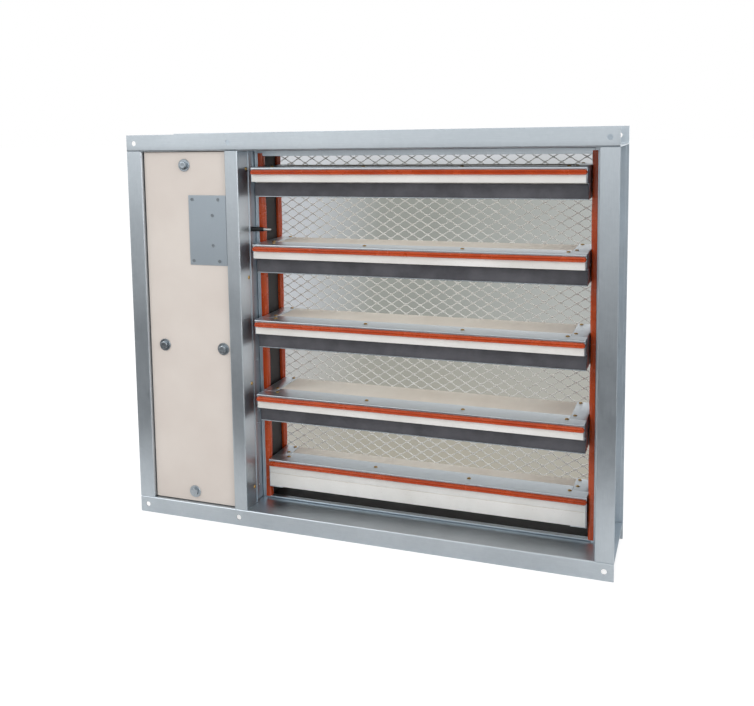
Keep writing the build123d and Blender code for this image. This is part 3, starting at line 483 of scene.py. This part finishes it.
# %% Folded sheet with broken edges
SHEAR = 0.22 * MM
for node in ("top_rail", "bottom_rail", "left_stile", "right_stile", "divider_post", "divider_wall",
             "guard_frame", "front_stops", "rear_stops", "cover_ledges", "actuator_bracket"):
    edged(node, SHEAR, special.get(node, "steel_upright"), "casing")
for node in ("front_cover", "rear_cover"):
    edged(node, 0.8 * MM, "cover", "casing", 3)
edged("service_plate", 0.4 * MM, "plate", "casing")
post_low, post_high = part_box("divider_post")
LEG_END = -45.0 * MM
HEM_WIDTH, HEM_RISE, HEM_SUNK, HEM_END = 3.0 * MM, 1.3 * MM, 0.2 * MM, 0.5 * MM
hem = slab((post_high[0] - HEM_SUNK, LEG_END - HEM_WIDTH, post_low[2] + HEM_END),
           (post_high[0] + HEM_RISE, LEG_END, post_high[2] - HEM_END), 0.6 * MM)
make_piece("post_hem", [hem], ["steel_upright"], "casing")
print("casing pieces have broken edges")

# %% [markdown]
# ## Blades
#
# A blade is two boards glued face to face. The top one reaches further forward, and a
# bulb seal sits in front of it under the lip of a folded angle. The faces are pressed
# smooth, while the sawn edges crumble a little, so the outline shifts by a tenth or two
# from station to station.

# %% Blade boards
PIVOT_Y = 15.0 * MM
SHEET = 1.2 * MM
BOARD = 25.0 * MM
LAP_GAP = 1.0 * MM
UPPER_REAR = 40.3 * MM
BLADES = range(1, 6)
pivot_z, reach = {}, {}
for n in BLADES:
    low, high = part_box(f"blade_{n}_boards")
    pivot_z[n] = (low[2] + high[2]) / 2
    lower_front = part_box(f"blade_{n}_fire_strip")[1][1] if n < 5 else low[1]
    reach[n] = (low[1] - PIVOT_Y, lower_front - PIVOT_Y, high[1] - PIVOT_Y)
blade_left, blade_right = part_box("blade_1_steelwork")[0][0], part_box("blade_1_steelwork")[1][0]
stations = np.arange(blade_left + SHEET, blade_right - SHEET, 3 * MM)
print("pivots at", [round(z / MM, 1) for z in pivot_z.values()])


def board(outline, n, seed):
    """A board's rings, whose points each move by 0.12 mm times a wander of their own, and their slots."""
    outline = softened(outline, 0.8 * MM, 2)
    rings = carried(outline + (PIVOT_Y, pivot_z[n]), stations)
    for point in range(len(outline)):
        rings[:, point, 1] += 0.12 * MM * wander(stations, seed + point, (0.05, 0.017, 0.011))
        rings[:, point, 2] += 0.08 * MM * wander(stations, seed + 50 + point, (0.06, 0.019, 0.012))
    step = np.roll(outline, -1, 0) - outline
    sawn = np.abs(step[:, 1]) > 0.5 * np.abs(step[:, 0])
    return rings, np.broadcast_to(sawn, (len(stations) - 1, len(outline))).astype(int)


for n in BLADES:
    front, lower_front, lower_rear = reach[n]
    under = LAP_GAP if front < lower_front else 0.2 * MM
    upper = [(front, under), (front, BOARD), (UPPER_REAR, BOARD), (UPPER_REAR, 0)]
    if front < lower_front:
        upper += [(lower_front, 0), (lower_front, LAP_GAP)]
    lower = [(lower_front, -BOARD), (lower_front, 0), (lower_rear, 0), (lower_rear, -BOARD)]
    parts = [board(upper, n, 100 * n), board(lower, n, 100 * n + 40)]
    make_piece(f"boards_{n}", [rings for rings, slot in parts], ["board", "board_edge"], f"blade_{n}",
               f"blade_{n}_boards", [slot for rings, slot in parts])
print("boards of", len(BLADES), "blades")

# %% [markdown]
# ## Angles and end caps
#
# The angle over a blade's front edge is folded from 1.2 mm sheet, so its bend has a small
# radius that catches the light. At each end it is cut back where the tab of the end cap
# lies beside it. A lapping blade has a second angle under its swelling strip.

# %% Blade steelwork
ANGLE_LEG, ANGLE_LIP, LOWER_LIP = 46.0 * MM, 3.2 * MM, 1.5 * MM
TAB_WIDTH, TAB_LAP, NOTCH = 26.0 * MM, 19.0 * MM, 0.5 * MM
STRIP = 4.0 * MM
LOWER_LEG = 22.0 * MM
TOP = BOARD + SHEET


def folded(corner, leg, lip, bend):
    """Outline of a folded angle from its outer corner, with the bend rounded outside and inside."""
    y, z = corner
    side, rise = math.copysign(SHEET, leg), math.copysign(SHEET, lip)
    points = [(y, z), (y + leg, z), (y + leg, z + rise),
              (y + side, z + rise), (y + side, z + lip), (y, z + lip)]
    return softened(points, np.array([bend, 0.3, 0.3, 0.1, 0.3, 0.3]) * MM, 4)


for n in BLADES:
    front, lower_front, lower_rear = reach[n]
    base = np.array([PIVOT_Y, pivot_z[n]])
    angle = folded((front - SHEET, TOP), ANGLE_LEG + SHEET, -ANGLE_LIP, 1.2)
    cut_back = angle.copy()
    notch_front = front + ANGLE_LEG - TAB_LAP - NOTCH
    cut_back[:, 0] = np.minimum(cut_back[:, 0], notch_front)
    inner = np.linspace(blade_left + TAB_WIDTH + NOTCH, blade_right - TAB_WIDTH - NOTCH, 40)
    line = np.concatenate([[blade_left, blade_left + TAB_WIDTH + 0.99 * NOTCH], inner,
                           [blade_right - TAB_WIDTH - 0.99 * NOTCH, blade_right]])
    outlines = np.array([cut_back] * 2 + [angle] * len(inner) + [cut_back] * 2) + base
    outlines[..., 1] += (0.12 * MM * wander(line, 7 * n, (0.4, 0.17)))[:, None] - 0.12 * MM
    parts = [carried(outlines, line)]
    if front < lower_front:
        leg = LOWER_LEG + STRIP + SHEET - 2 * NOTCH
        under = folded((lower_front - STRIP - SHEET, -TOP), leg, LOWER_LIP, 0.8) + base
        parts.append(carried(under, np.linspace(blade_left, blade_right, 12)))
    tab_back = LOWER_LEG - NOTCH if front < lower_front else 0
    for end, inward in ((blade_left, 1), (blade_right, -1)):
        plate = sorted((end, end + inward * SHEET))
        tab = sorted((end, end + inward * TAB_WIDTH))
        for (x0, x1), (y0, y1), (z0, z1) in (
                (plate, (front, UPPER_REAR), (LAP_GAP if front < lower_front else 0, BOARD)),
                (plate, (lower_front, lower_rear), (-BOARD, 0)),
                (tab, (front + ANGLE_LEG - TAB_LAP, UPPER_REAR), (BOARD, TOP)),
                (tab, (lower_front + tab_back, lower_rear), (-TOP, -BOARD))):
            parts.append(slab((x0, y0 + PIVOT_Y, z0 + pivot_z[n]),
                              (x1, y1 + PIVOT_Y, z1 + pivot_z[n]), 0.35 * MM))
    make_piece(f"steelwork_{n}", parts, ["steel_across"], f"blade_{n}", f"blade_{n}_steelwork")
print("folded angles and caps ready")

# %% [markdown]
# ## Seals on the blades
#
# The bulb seal is a hollow silicone profile. Where its wall folds over, a crease runs
# along the front and splits the highlight in two. It is a little uneven along its
# length, and its cut ends are pinched round. The swelling strip is cut from sheet.

# %% Bulb seals and swelling strips
BULB_HEIGHT, BULB_OUT = 9.0 * MM, 7.0 * MM
CREASE_AT, CREASE_WIDTH, CREASE_DEPTH = math.radians(4), math.radians(14), 2.7 * MM
LIP_GAP = 0.7 * MM            # dark gap between the angle's lip and the bulb
line = np.concatenate([blade_left + np.array([0, 0.3, 1, 2.2]) * MM,
                       np.linspace(blade_left + 4 * MM, blade_right - 4 * MM, 120),
                       blade_right - np.array([2.2, 1, 0.3, 0]) * MM])
from_end = np.minimum(line - blade_left, blade_right - line) / (3.5 * MM)
pinch = np.sqrt(1 - (1 - np.clip(from_end, 0.04, 1)) ** 2)
turn = np.radians(np.linspace(90, -90, 25))
for n in BLADES:
    front = reach[n][0]
    radius = (BULB_HEIGHT - LIP_GAP) / 2
    crease = CREASE_DEPTH * np.exp(-((turn - CREASE_AT) / CREASE_WIDTH) ** 2)
    out = BULB_OUT - radius + (radius - crease) * np.cos(turn)
    swell = 1 - 0.05 * (1 + wander(line, 30 + n, (0.33, 0.12, 0.055))) / 2
    y = PIVOT_Y + front - out * (swell * (0.4 + 0.6 * pinch))[:, None]
    z = pivot_z[n] + TOP - ANGLE_LIP - LIP_GAP - radius + radius * np.sin(turn) * pinch[:, None]
    z -= (0.25 * MM * (1 + wander(line, 60 + n, (0.29, 0.1))))[:, None] * 0.5
    round_rings = np.stack([np.broadcast_to(line[:, None], y.shape), y, z], -1)
    back = np.stack([np.broadcast_to(line[:, None], (len(line), 2)),
                     np.full((len(line), 2), PIVOT_Y + front), z[:, [-1, 0]]], -1)
    make_piece(f"bulb_{n}", [np.concatenate([round_rings, back], 1)], ["silicone"], f"blade_{n}",
               f"blade_{n}_bulb_seal", sharp=60)
for n in BLADES[:-1]:
    low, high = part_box(f"blade_{n}_fire_strip")
    outline = softened([(low[1], low[2]), (high[1], low[2]), (high[1], high[2]), (low[1], high[2])], 0.9 * MM)
    line = np.linspace(low[0], high[0], 180)
    rings = carried(outline, line)
    rings[:, :, 2] += (0.12 * MM * wander(line, 80 + n, (0.09, 0.031)))[:, None]
    make_piece(f"strip_{n}", [rings], ["strip"], f"blade_{n}", f"blade_{n}_fire_strip")
print("seals and strips ready")

# %% [markdown]
# ## Screws and bolts
#
# A pan-head screw is a low dome with a cross pressed into it. The dome's height falls with
# the square of the distance from its middle, and the cross sinks wherever a point is near
# either of two lines and inside the recess. The plate's screws are flat with a raised rim.

# %% Pan-head screws
HEAD, HEAD_HEIGHT = 7.0 * MM, 1.6 * MM


def pan_head(diameter, height, spin=0.0):
    """Rings of a dome h(r) = height (1 - 0.45 r^2 - 0.55 r^8), less a cross that is deepest in the middle."""
    share = np.array([1.0, 1.0, 0.96, 0.88, 0.76, 0.62, 0.48, 0.34, 0.2, 0.08])
    around = 32
    angle = np.arange(around) * 2 * np.pi / around
    dome = height * (1 - 0.45 * share ** 2 - 0.55 * share ** 8)
    dome[0] = 0.0
    dome[1] = 0.12 * height
    x, y = share[:, None] * np.cos(angle), share[:, None] * np.sin(angle)
    across = np.abs(x * math.cos(spin) + y * math.sin(spin))
    along = np.abs(y * math.cos(spin) - x * math.sin(spin))
    arm = np.minimum(across, along)
    depth = np.clip(1 - arm / 0.16, 0, 1) * np.clip((0.62 - share[:, None]) / 0.2, 0, 1)
    up = np.maximum(dome[:, None] - 0.75 * height * depth, 0.05 * height)
    up[0] = 0.0
    return np.stack([x * diameter / 2, y * diameter / 2, up], -1)


ANGLE_SCREWS, ANGLE_SCREW_INSET = 4, 30.0 * MM
TAB_SCREW_INSET, TAB_SCREW_EDGE = 20.0 * MM, 6.5 * MM
for n in BLADES:
    front = reach[n][0]
    row = np.linspace(blade_left + ANGLE_SCREW_INSET, blade_right - ANGLE_SCREW_INSET, ANGLE_SCREWS)
    spots = [(x, front + ANGLE_LEG / 2) for x in row]
    for x in (blade_left + TAB_SCREW_INSET, blade_right - TAB_SCREW_INSET):
        spots += [(x, front + ANGLE_LEG), (x, UPPER_REAR - TAB_SCREW_EDGE)]
    parts = [placed_at(pan_head(HEAD, HEAD_HEIGHT, 0.7 * k + n), (x, PIVOT_Y + y, pivot_z[n] + TOP))
             for k, (x, y) in enumerate(spots)]
    make_piece(f"screws_{n}", parts, ["gold"], f"blade_{n}", f"blade_{n}_screws", sharp=50)

post_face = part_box("divider_post")[1][0]
wall_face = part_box("divider_wall")[1][0]
POST_SCREW_Y, RIVET_Y = -56.0 * MM, -31.0 * MM
post_screws, rivets = np.linspace(63.0, 647.0, 4) * MM, np.linspace(58.0, 652.0, 6) * MM
parts = [placed_at(pan_head(HEAD, HEAD_HEIGHT, k), (post_face, POST_SCREW_Y, z), "+x")
         for k, z in enumerate(post_screws)]
rivet = [(2.5 * MM, 0), (2.5 * MM, 0.3 * MM), (2.1 * MM, 0.8 * MM),
         (1.3 * MM, 1.0 * MM), (1.1 * MM, 0.6 * MM), (0.3 * MM, 0.6 * MM)]
parts += [placed_at(turned(rivet), (wall_face, RIVET_Y, z), "+x") for z in rivets]
make_piece("wall_screws_and_rivets", parts, ["zinc", "gold"], "casing", "wall_fixings",
           [1] * len(post_screws) + [0] * len(rivets), 50)
print("screws ready")

# %% Cover bolts, washers and the service plate's screws
BOLT_FLATS, BOLT_HEIGHT, WASHER, WASHER_HEIGHT = 13.0 * MM, 5.3 * MM, 22.5 * MM, 2.0 * MM
SHANK = 8.0 * MM
half = BOLT_FLATS / 2
hexagon = [(0.9 * half, 0, 9), (half, 0, 1.10 * half),
           (half, 0.12 * BOLT_HEIGHT, 9), (half, 0.8 * BOLT_HEIGHT, 9),
           (half, 0.88 * BOLT_HEIGHT, 1.1 * half), (half, BOLT_HEIGHT * 0.97, 0.98 * half),
           (0.9 * half, BOLT_HEIGHT, 0.9 * half), (0.5 * half, 0.96 * BOLT_HEIGHT, half),
           (0.1 * half, 0.95 * BOLT_HEIGHT, half)]
shank = [(SHANK / 2, 0), (SHANK / 2, 33 * MM), (SHANK / 2 - 1 * MM, 34 * MM)]
ring = [(SHANK / 2 + 0.6 * MM, 0), (WASHER / 2 - 0.3 * MM, 0), (WASHER / 2, 0.3 * MM),
        (WASHER / 2, WASHER_HEIGHT - 0.6 * MM), (WASHER / 2 - 0.5 * MM, WASHER_HEIGHT),
        (SHANK / 2 + 0.6 * MM, WASHER_HEIGHT)]
BOLT_SPOTS = ((-316.0, 655.0), (-316.0, 50.0), (-368.5, 324.5), (-248.0, 324.5))
FRONT_COVER_FACE, REAR_COVER_FACE = -82.5, 78.5
bolts, washers = [], []
for x, z in BOLT_SPOTS:
    for y, way, back in ((FRONT_COVER_FACE, "-y", "+y"), (REAR_COVER_FACE, "+y", "-y")):
        out = -WASHER_HEIGHT if way == "-y" else WASHER_HEIGHT
        seat = (x * MM, y * MM, z * MM)
        top = (x * MM, y * MM + out, z * MM)
        bolts += [placed_at(turned(hexagon, 48, 6), top, way), placed_at(turned(shank, 20), top, back)]
        washers.append(placed_at(turned(ring, 32), seat, way))
make_piece("bolts_of_covers", bolts, ["zinc"], "casing", "cover_bolts", sharp=30)
make_piece("washers_of_covers", washers, ["zinc"], "casing", "cover_washers", sharp=30)

plate_low, plate_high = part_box("service_plate")
PLATE_SCREW = 6.0 * MM
flat = [(PLATE_SCREW / 2, 0), (PLATE_SCREW / 2, 0.7 * MM), (0.44 * PLATE_SCREW, 1.0 * MM),
        (0.36 * PLATE_SCREW, 0.95 * MM), (0.32 * PLATE_SCREW, 0.6 * MM), (0.12 * PLATE_SCREW, 0.6 * MM),
        (0.08 * PLATE_SCREW, 0.2 * MM), (0.02 * PLATE_SCREW, 0.2 * MM)]
EDGE_INSET, RIGHT_INSET, INNER_INSET, HALF_PITCH = 7.5 * MM, 15.0 * MM, 27.0 * MM, 27.0 * MM
left, right = plate_low[0] + EDGE_INSET, plate_high[0] - RIGHT_INSET
inner, mid = plate_high[0] - INNER_INSET, (plate_low[2] + plate_high[2]) / 2
spots = [(x, z) for x in (left, right) for z in (plate_low[2] + EDGE_INSET, plate_high[2] - EDGE_INSET)]
spots += [(inner, mid - HALF_PITCH), (inner, mid + HALF_PITCH)]
parts = [placed_at(turned(flat), (x, plate_low[1], z), "-y") for x, z in spots]
make_piece("screws_of_plate", parts, ["worn"], "casing", "service_plate_screws", sharp=40)
print(len(bolts) // 2, "cover bolts and", len(spots), "plate screws")

# %% [markdown]
# ## Side seals
#
# The blades' ends squeeze the upright seals, which bulge out again between one blade and
# the next. So the profile is carried upwards with a half-width and a reach that depend on
# the height: narrow within a blade's thickness of each pivot, full between.

# %% Upright seals
SEAL = 7.0 * MM
FRONT_MIDDLE, REAR_MIDDLE = -13.5 * MM, 56.0 * MM
HALF_WIDTH, FREE_WIDTH, SQUEEZED_FROM_PIVOT, FRONT_LAP = 6.6 * MM, 0.9 * MM, 36 * MM, 3.0 * MM
for node, lean in (("front_side_seals", 1.0), ("rear_side_seals", -1.0)):
    low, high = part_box(node)
    line = np.arange(low[2], high[2], 4 * MM)
    squeezed = np.zeros(len(line))
    for z in pivot_z.values():
        squeezed = np.maximum(squeezed, np.exp(-(np.abs(line - z) / SQUEEZED_FROM_PIVOT) ** 4))
    middle = FRONT_MIDDLE if lean > 0 else REAR_MIDDLE
    turn = np.radians(np.linspace(-90, 90, 21))
    parts = []
    for base, inward, seed in ((low[0], 1, 1), (high[0], -1, 2)):
        free = 1 - squeezed + 0.06 * wander(line, seed + (20 if lean > 0 else 40), (0.1, 0.043))
        out = SEAL * np.clip(0.88 + 0.12 * free, 0, 1)
        wide = (HALF_WIDTH + FREE_WIDTH * free)[:, None]
        fold = 1 - 0.45 * np.exp(-((turn - 0.35 * lean) / 0.18) ** 2)
        x = base + inward * out[:, None] * fold * np.sqrt(np.cos(turn).clip(0.02, 1))
        y = middle + wide * np.sin(turn)
        foot = np.full((len(line), 1), base)
        lapped = foot - inward * (FRONT_LAP if lean > 0 else 0.0)
        x = np.concatenate([lapped, x, foot], 1)
        y = np.concatenate([y[:, :1], y, y[:, -1:]], 1)
        parts.append(np.stack([x, y, np.broadcast_to(line[:, None], x.shape)], -1))
    make_piece(node + "_bulged", parts, ["silicone"], "casing", node, sharp=60)
print("upright seals ready")

# %% [markdown]
# ## Guard mesh
#
# The guard is expanded metal: sheet that was slit and pulled open, so that wavy strands
# meet in short bonds. Every strand is the same wave, z = base + A w(x), where w is a
# triangle wave with rounded corners, and each second strand is turned upside down, so it
# touches its neighbours at every crest.

# %% Expanded metal
MESH_LONG, MESH_SHORT, STRAND = 27.8 * MM, 17.4 * MM, 2.1 * MM
low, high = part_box("guard_mesh")
columns = int((high[0] - low[0]) / (MESH_LONG / 2))
start = (low[0] + high[0] - columns * MESH_LONG / 2) / 2
steps = 6
line = start + np.arange(columns * steps + 1) * MESH_LONG / 2 / steps
phase = (line - start) / MESH_LONG
triangle = 1 - 4 * np.abs((phase + 0.25) % 1 - 0.5)
wave = np.sin(triangle * np.pi / 2) * 0.9 + triangle * 0.1
amplitude = MESH_SHORT / 4 - STRAND * 0.36
side = STRAND / 2
outline = softened([(low[1], -side), (low[1], side), (high[1], side), (high[1], -side)], 0.3 * MM, 1)
parts = []
count = int((high[2] - low[2] - 2 * STRAND) / (MESH_SHORT / 2))
first = (low[2] + high[2] - (count - 1) * MESH_SHORT / 2) / 2
for k in range(count):
    rings = carried(outline, line)
    rings[..., 2] += (first + k * MESH_SHORT / 2 + (-1) ** k * amplitude * wave)[:, None]
    inset = 0.08 * MM * (k % 2)             # so that two strands' faces don't share a plane at a bond
    twisted = rings[..., 1] + (0.15 * MM * np.abs(triangle))[:, None]
    rings[..., 1] = np.clip(twisted, low[1] + inset, high[1] - inset)
    rings[..., 2] = np.clip(rings[..., 2], low[2], high[2])
    parts.append(rings)
RIM = 2.5 * MM
for side in (low[0], high[0] - RIM):
    parts.append(slab((side, low[1], low[2]), (side + RIM, high[1], high[2]), 0.3 * MM))
guard = make_piece("expanded_mesh", parts, ["mesh"], "casing", "guard_mesh", sharp=50)
print(count, "strands,", len(guard.data.polygons), "faces")

# %% [markdown]
# ## Trip sensor
#
# The sensor's nose is a turned plastic cone with fine ribs, and a metal probe with a round
# end reaches out of it into the air stream.

# %% Trip sensor
low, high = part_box("trip_sensor")
tip_low, tip_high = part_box("trip_sensor_tip")
axis_y, axis_z = (tip_low[1] + tip_high[1]) / 2, (tip_low[2] + tip_high[2]) / 2
BOX_DEPTH = 20.0 * MM
box_end = low[0] + BOX_DEPTH
nose = high[0] - box_end
along = np.linspace(0, 1, 40)
ribs = 0.35 * MM * (np.clip(np.sin(along * 2 * np.pi * 7), 0, 1) * (along > 0.15) * (along < 0.75))
radius = 4.5 * MM - 0.75 * MM * along - ribs
profile = [(r, a * nose) for r, a in zip(radius, along)] + [(2.6 * MM, nose)]
parts = [slab((low[0], low[1], low[2]), (box_end, high[1], high[2]), 1.5 * MM),
         placed_at(turned(profile), (box_end, axis_y, axis_z), "+x")]
make_piece("sensor_nose", parts, ["black"], "casing", "trip_sensor", sharp=35)
length, probe = tip_high[0] - tip_low[0], 2.5 * MM
round_end = [(probe * math.cos(a), length - probe + probe * math.sin(a))
             for a in np.radians(np.arange(0, 90, 12))]
make_piece("sensor_probe", [placed_at(turned([(probe, 0)] + round_end), (tip_low[0], axis_y, axis_z), "+x")],
           ["bare"], "casing", "trip_sensor_tip")
print("sensor ready")

# %% [markdown]
# ## Studio
#
# A pale floor, a white surround and three large soft lamps. A card close behind the guard
# glows for the camera alone with painted light and shade of what lies behind the guard: greys
# lighter at the left and along the top, beige lower down, and patches of painted shade. A dark flag on
# the floor is seen only in reflections, where it darkens the lower steel.

# %% Floor, surround and lamps
FLOOR_REACH, FLOOR_DROP = 30.0, 0.5 * MM
floor = sheet_object("floor", [(x * FLOOR_REACH, y * FLOOR_REACH, -FLOOR_DROP) for x, y in (
    (-1, -1), (1, -1), (1, 1), (-1, 1))], [(0, 1, 2, 3)])
floor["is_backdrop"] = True
paper, tree, shader = finish("white floor")
shader.inputs["Base Color"].default_value = (0.8, 0.8, 0.8, 1.0)
shader.inputs["Roughness"].default_value = 0.9
path = add(tree, "ShaderNodeLightPath")
glow = add(tree, "ShaderNodeEmission", [("Color", (1, 1, 1, 1)), ("Strength", 1.3)])
share = add(tree, "ShaderNodeMath", [(0, path.outputs["Is Camera Ray"]), (1, 0.62)], operation="MULTIPLY")
both = add(tree, "ShaderNodeMixShader", [(0, share.outputs[0]), (1, shader.outputs[0]), (2, glow.outputs[0])])
tree.links.new(both.outputs[0], tree.nodes["Material Output"].inputs["Surface"])
floor.data.materials.append(paper)

low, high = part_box("guard_mesh")
CARD_BEHIND = 4.0 * MM
card_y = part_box("guard_frame")[1][1] + CARD_BEHIND
# The card glows with painted light and shade of what lies behind the guard, seen by the camera alone.
card = sheet_object("painted through-view card", [(x, card_y, z) for x, z in (
    (low[0], low[2]), (high[0], low[2]), (high[0], high[2]), (low[0], high[2]))], [(0, 1, 2, 3)])
card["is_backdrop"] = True
paper, tree, shader = finish("painted through-view card")
spot = add(tree, "ShaderNodeSeparateXYZ", [(0, add(tree, "ShaderNodeTexCoord").outputs["Object"])])
patchy = add(tree, "ShaderNodeTexNoise", [("Scale", 2.5), ("Detail", 1.0)]).outputs["Fac"]
slant = add(tree, "ShaderNodeMath", [(0, spot.outputs["Z"]), (1, -0.12)], operation="MULTIPLY").outputs[0]
leant = add(tree, "ShaderNodeMath", [(0, spot.outputs["X"]), (1, slant)], operation="ADD").outputs[0]
# Painted light and shade across the card: light grey at the left, darker grey in the middle, mid grey to the
# right.
cool = mixed(tree, ramp(tree, leant, 0.0, 1.0, -0.21, -0.07), srgb(192, 196, 201), srgb(149, 152, 146))
warm = mixed(tree, ramp(tree, leant, 0.0, 1.0, 0.02, 0.28), cool, srgb(176, 179, 176))
# Painted beige towards the bottom of the card.
toned = mixed(tree, ramp(tree, spot.outputs["Z"], 0.75, 0.0, 0.10, 0.40), warm, srgb(176, 169, 153))
# A painted band of light along the top of the card.
painted_top_light = mixed(tree, ramp(tree, spot.outputs["Z"], 0.0, 1.0, 0.62, 0.66), toned, srgb(206, 209, 213))
# Patches of painted shade over the card.
shade = mixed(tree, ramp(tree, patchy, 0.0, 0.2, 0.35, 0.65), painted_top_light, srgb(160, 162, 158))
seen_glow = add(tree, "ShaderNodeEmission", [("Color", shade), ("Strength", 1.0)])
clear = add(tree, "ShaderNodeBsdfTransparent")
behind = add(tree, "ShaderNodeNewGeometry").outputs["Backfacing"]
either = add(tree, "ShaderNodeMixShader", [(0, behind), (1, seen_glow.outputs[0]), (2, clear.outputs[0])])
tree.links.new(either.outputs[0], tree.nodes["Material Output"].inputs["Surface"])
card.data.materials.append(paper)
card.visible_shadow = card.visible_diffuse = card.visible_glossy = False

FLAG_LEFT, FLAG_RIGHT, FLAG_FRONT, FLAG_TOP = -2.6, 3.2, -2.6, 0.16
NEAR_LEFT, NEAR_RIGHT = -0.2, -0.75
flag = sheet_object("dark flag", [
    (FLAG_LEFT, NEAR_LEFT, FLOOR_DROP), (FLAG_RIGHT, NEAR_RIGHT, FLOOR_DROP),
    (FLAG_RIGHT, FLAG_FRONT, FLOOR_DROP), (FLAG_LEFT, FLAG_FRONT, FLOOR_DROP),
    (FLAG_RIGHT, FLAG_FRONT, FLAG_TOP), (FLAG_LEFT, FLAG_FRONT, FLAG_TOP)], [(0, 1, 2, 3), (3, 2, 4, 5)])
flag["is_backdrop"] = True
felt, tree, shader = finish("dark flag")
shader.inputs["Base Color"].default_value = (0.03, 0.03, 0.033, 1.0)
shader.inputs["Roughness"].default_value = 0.9
flag.data.materials.append(felt)
flag.visible_camera = flag.visible_shadow = flag.visible_diffuse = False

world = bpy.data.worlds.new("surround")
bpy.context.scene.world = world
world.use_nodes = True
tree = world.node_tree
backdrop = tree.nodes["Background"]
path = add(tree, "ShaderNodeLightPath")
seen = add(tree, "ShaderNodeMath", [
    (0, path.outputs["Is Camera Ray"]), (1, path.outputs["Is Transmission Ray"])], operation="MAXIMUM")
ways = add(tree, "ShaderNodeTexCoord").outputs["Generated"]
across, _, height = add(tree, "ShaderNodeSeparateXYZ", [(0, ways)]).outputs
studio = ramp(tree, height, 0.45, 0.85, -0.1, 0.6)
# The studio's right side is the brighter one where the steel mirrors it.
side = ramp(tree, across, 0.8, 1.15, -0.55, -0.05)
shine = add(tree, "ShaderNodeMath", [(0, ramp(tree, height, 1.7, 0.7, 0.0, 0.3)), (1, side)],
            operation="MULTIPLY").outputs[0]
lit = add(tree, "ShaderNodeMix", [
    ("Factor", path.outputs["Is Glossy Ray"]), (2, studio), (3, shine)]).outputs[0]
strength = add(tree, "ShaderNodeMix", [("Factor", seen.outputs[0]), (2, lit), (3, 1.0)])
tree.links.new(strength.outputs[0], backdrop.inputs["Strength"])
backdrop.inputs["Color"].default_value = (1.0, 1.0, 1.0, 1.0)


def lamp(name, place, target, width, height, power):
    """A soft rectangular lamp that looks from its place to a target."""
    data = bpy.data.lights.new(name, "AREA")
    data.shape = "RECTANGLE"
    data.size, data.size_y, data.energy = width, height, power
    made = bpy.data.objects.new(name, data)
    bpy.context.scene.collection.objects.link(made)
    back = np.array(place, float) - np.array(target, float)
    back /= np.linalg.norm(back)
    right = np.cross((0, 0, 1), back)
    right /= np.linalg.norm(right)
    turn = np.eye(4)
    turn[:3, :3] = np.array([right, np.cross(back, right), back]).T
    turn[:3, 3] = place
    made.matrix_world = turn.T.tolist()


middle = (0.0, 0.0, 0.35)
lamp("key lamp", (-1.7, -2.2, 2.0), middle, 1.6, 1.6, 24)
lamp("fill lamp", (2.4, -1.6, 1.2), middle, 1.4, 1.8, 18)
lamp("top lamp", (0.2, 0.4, 2.8), middle, 2.0, 1.6, 22)
print("studio ready")

# %% Sizes and end
low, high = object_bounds()
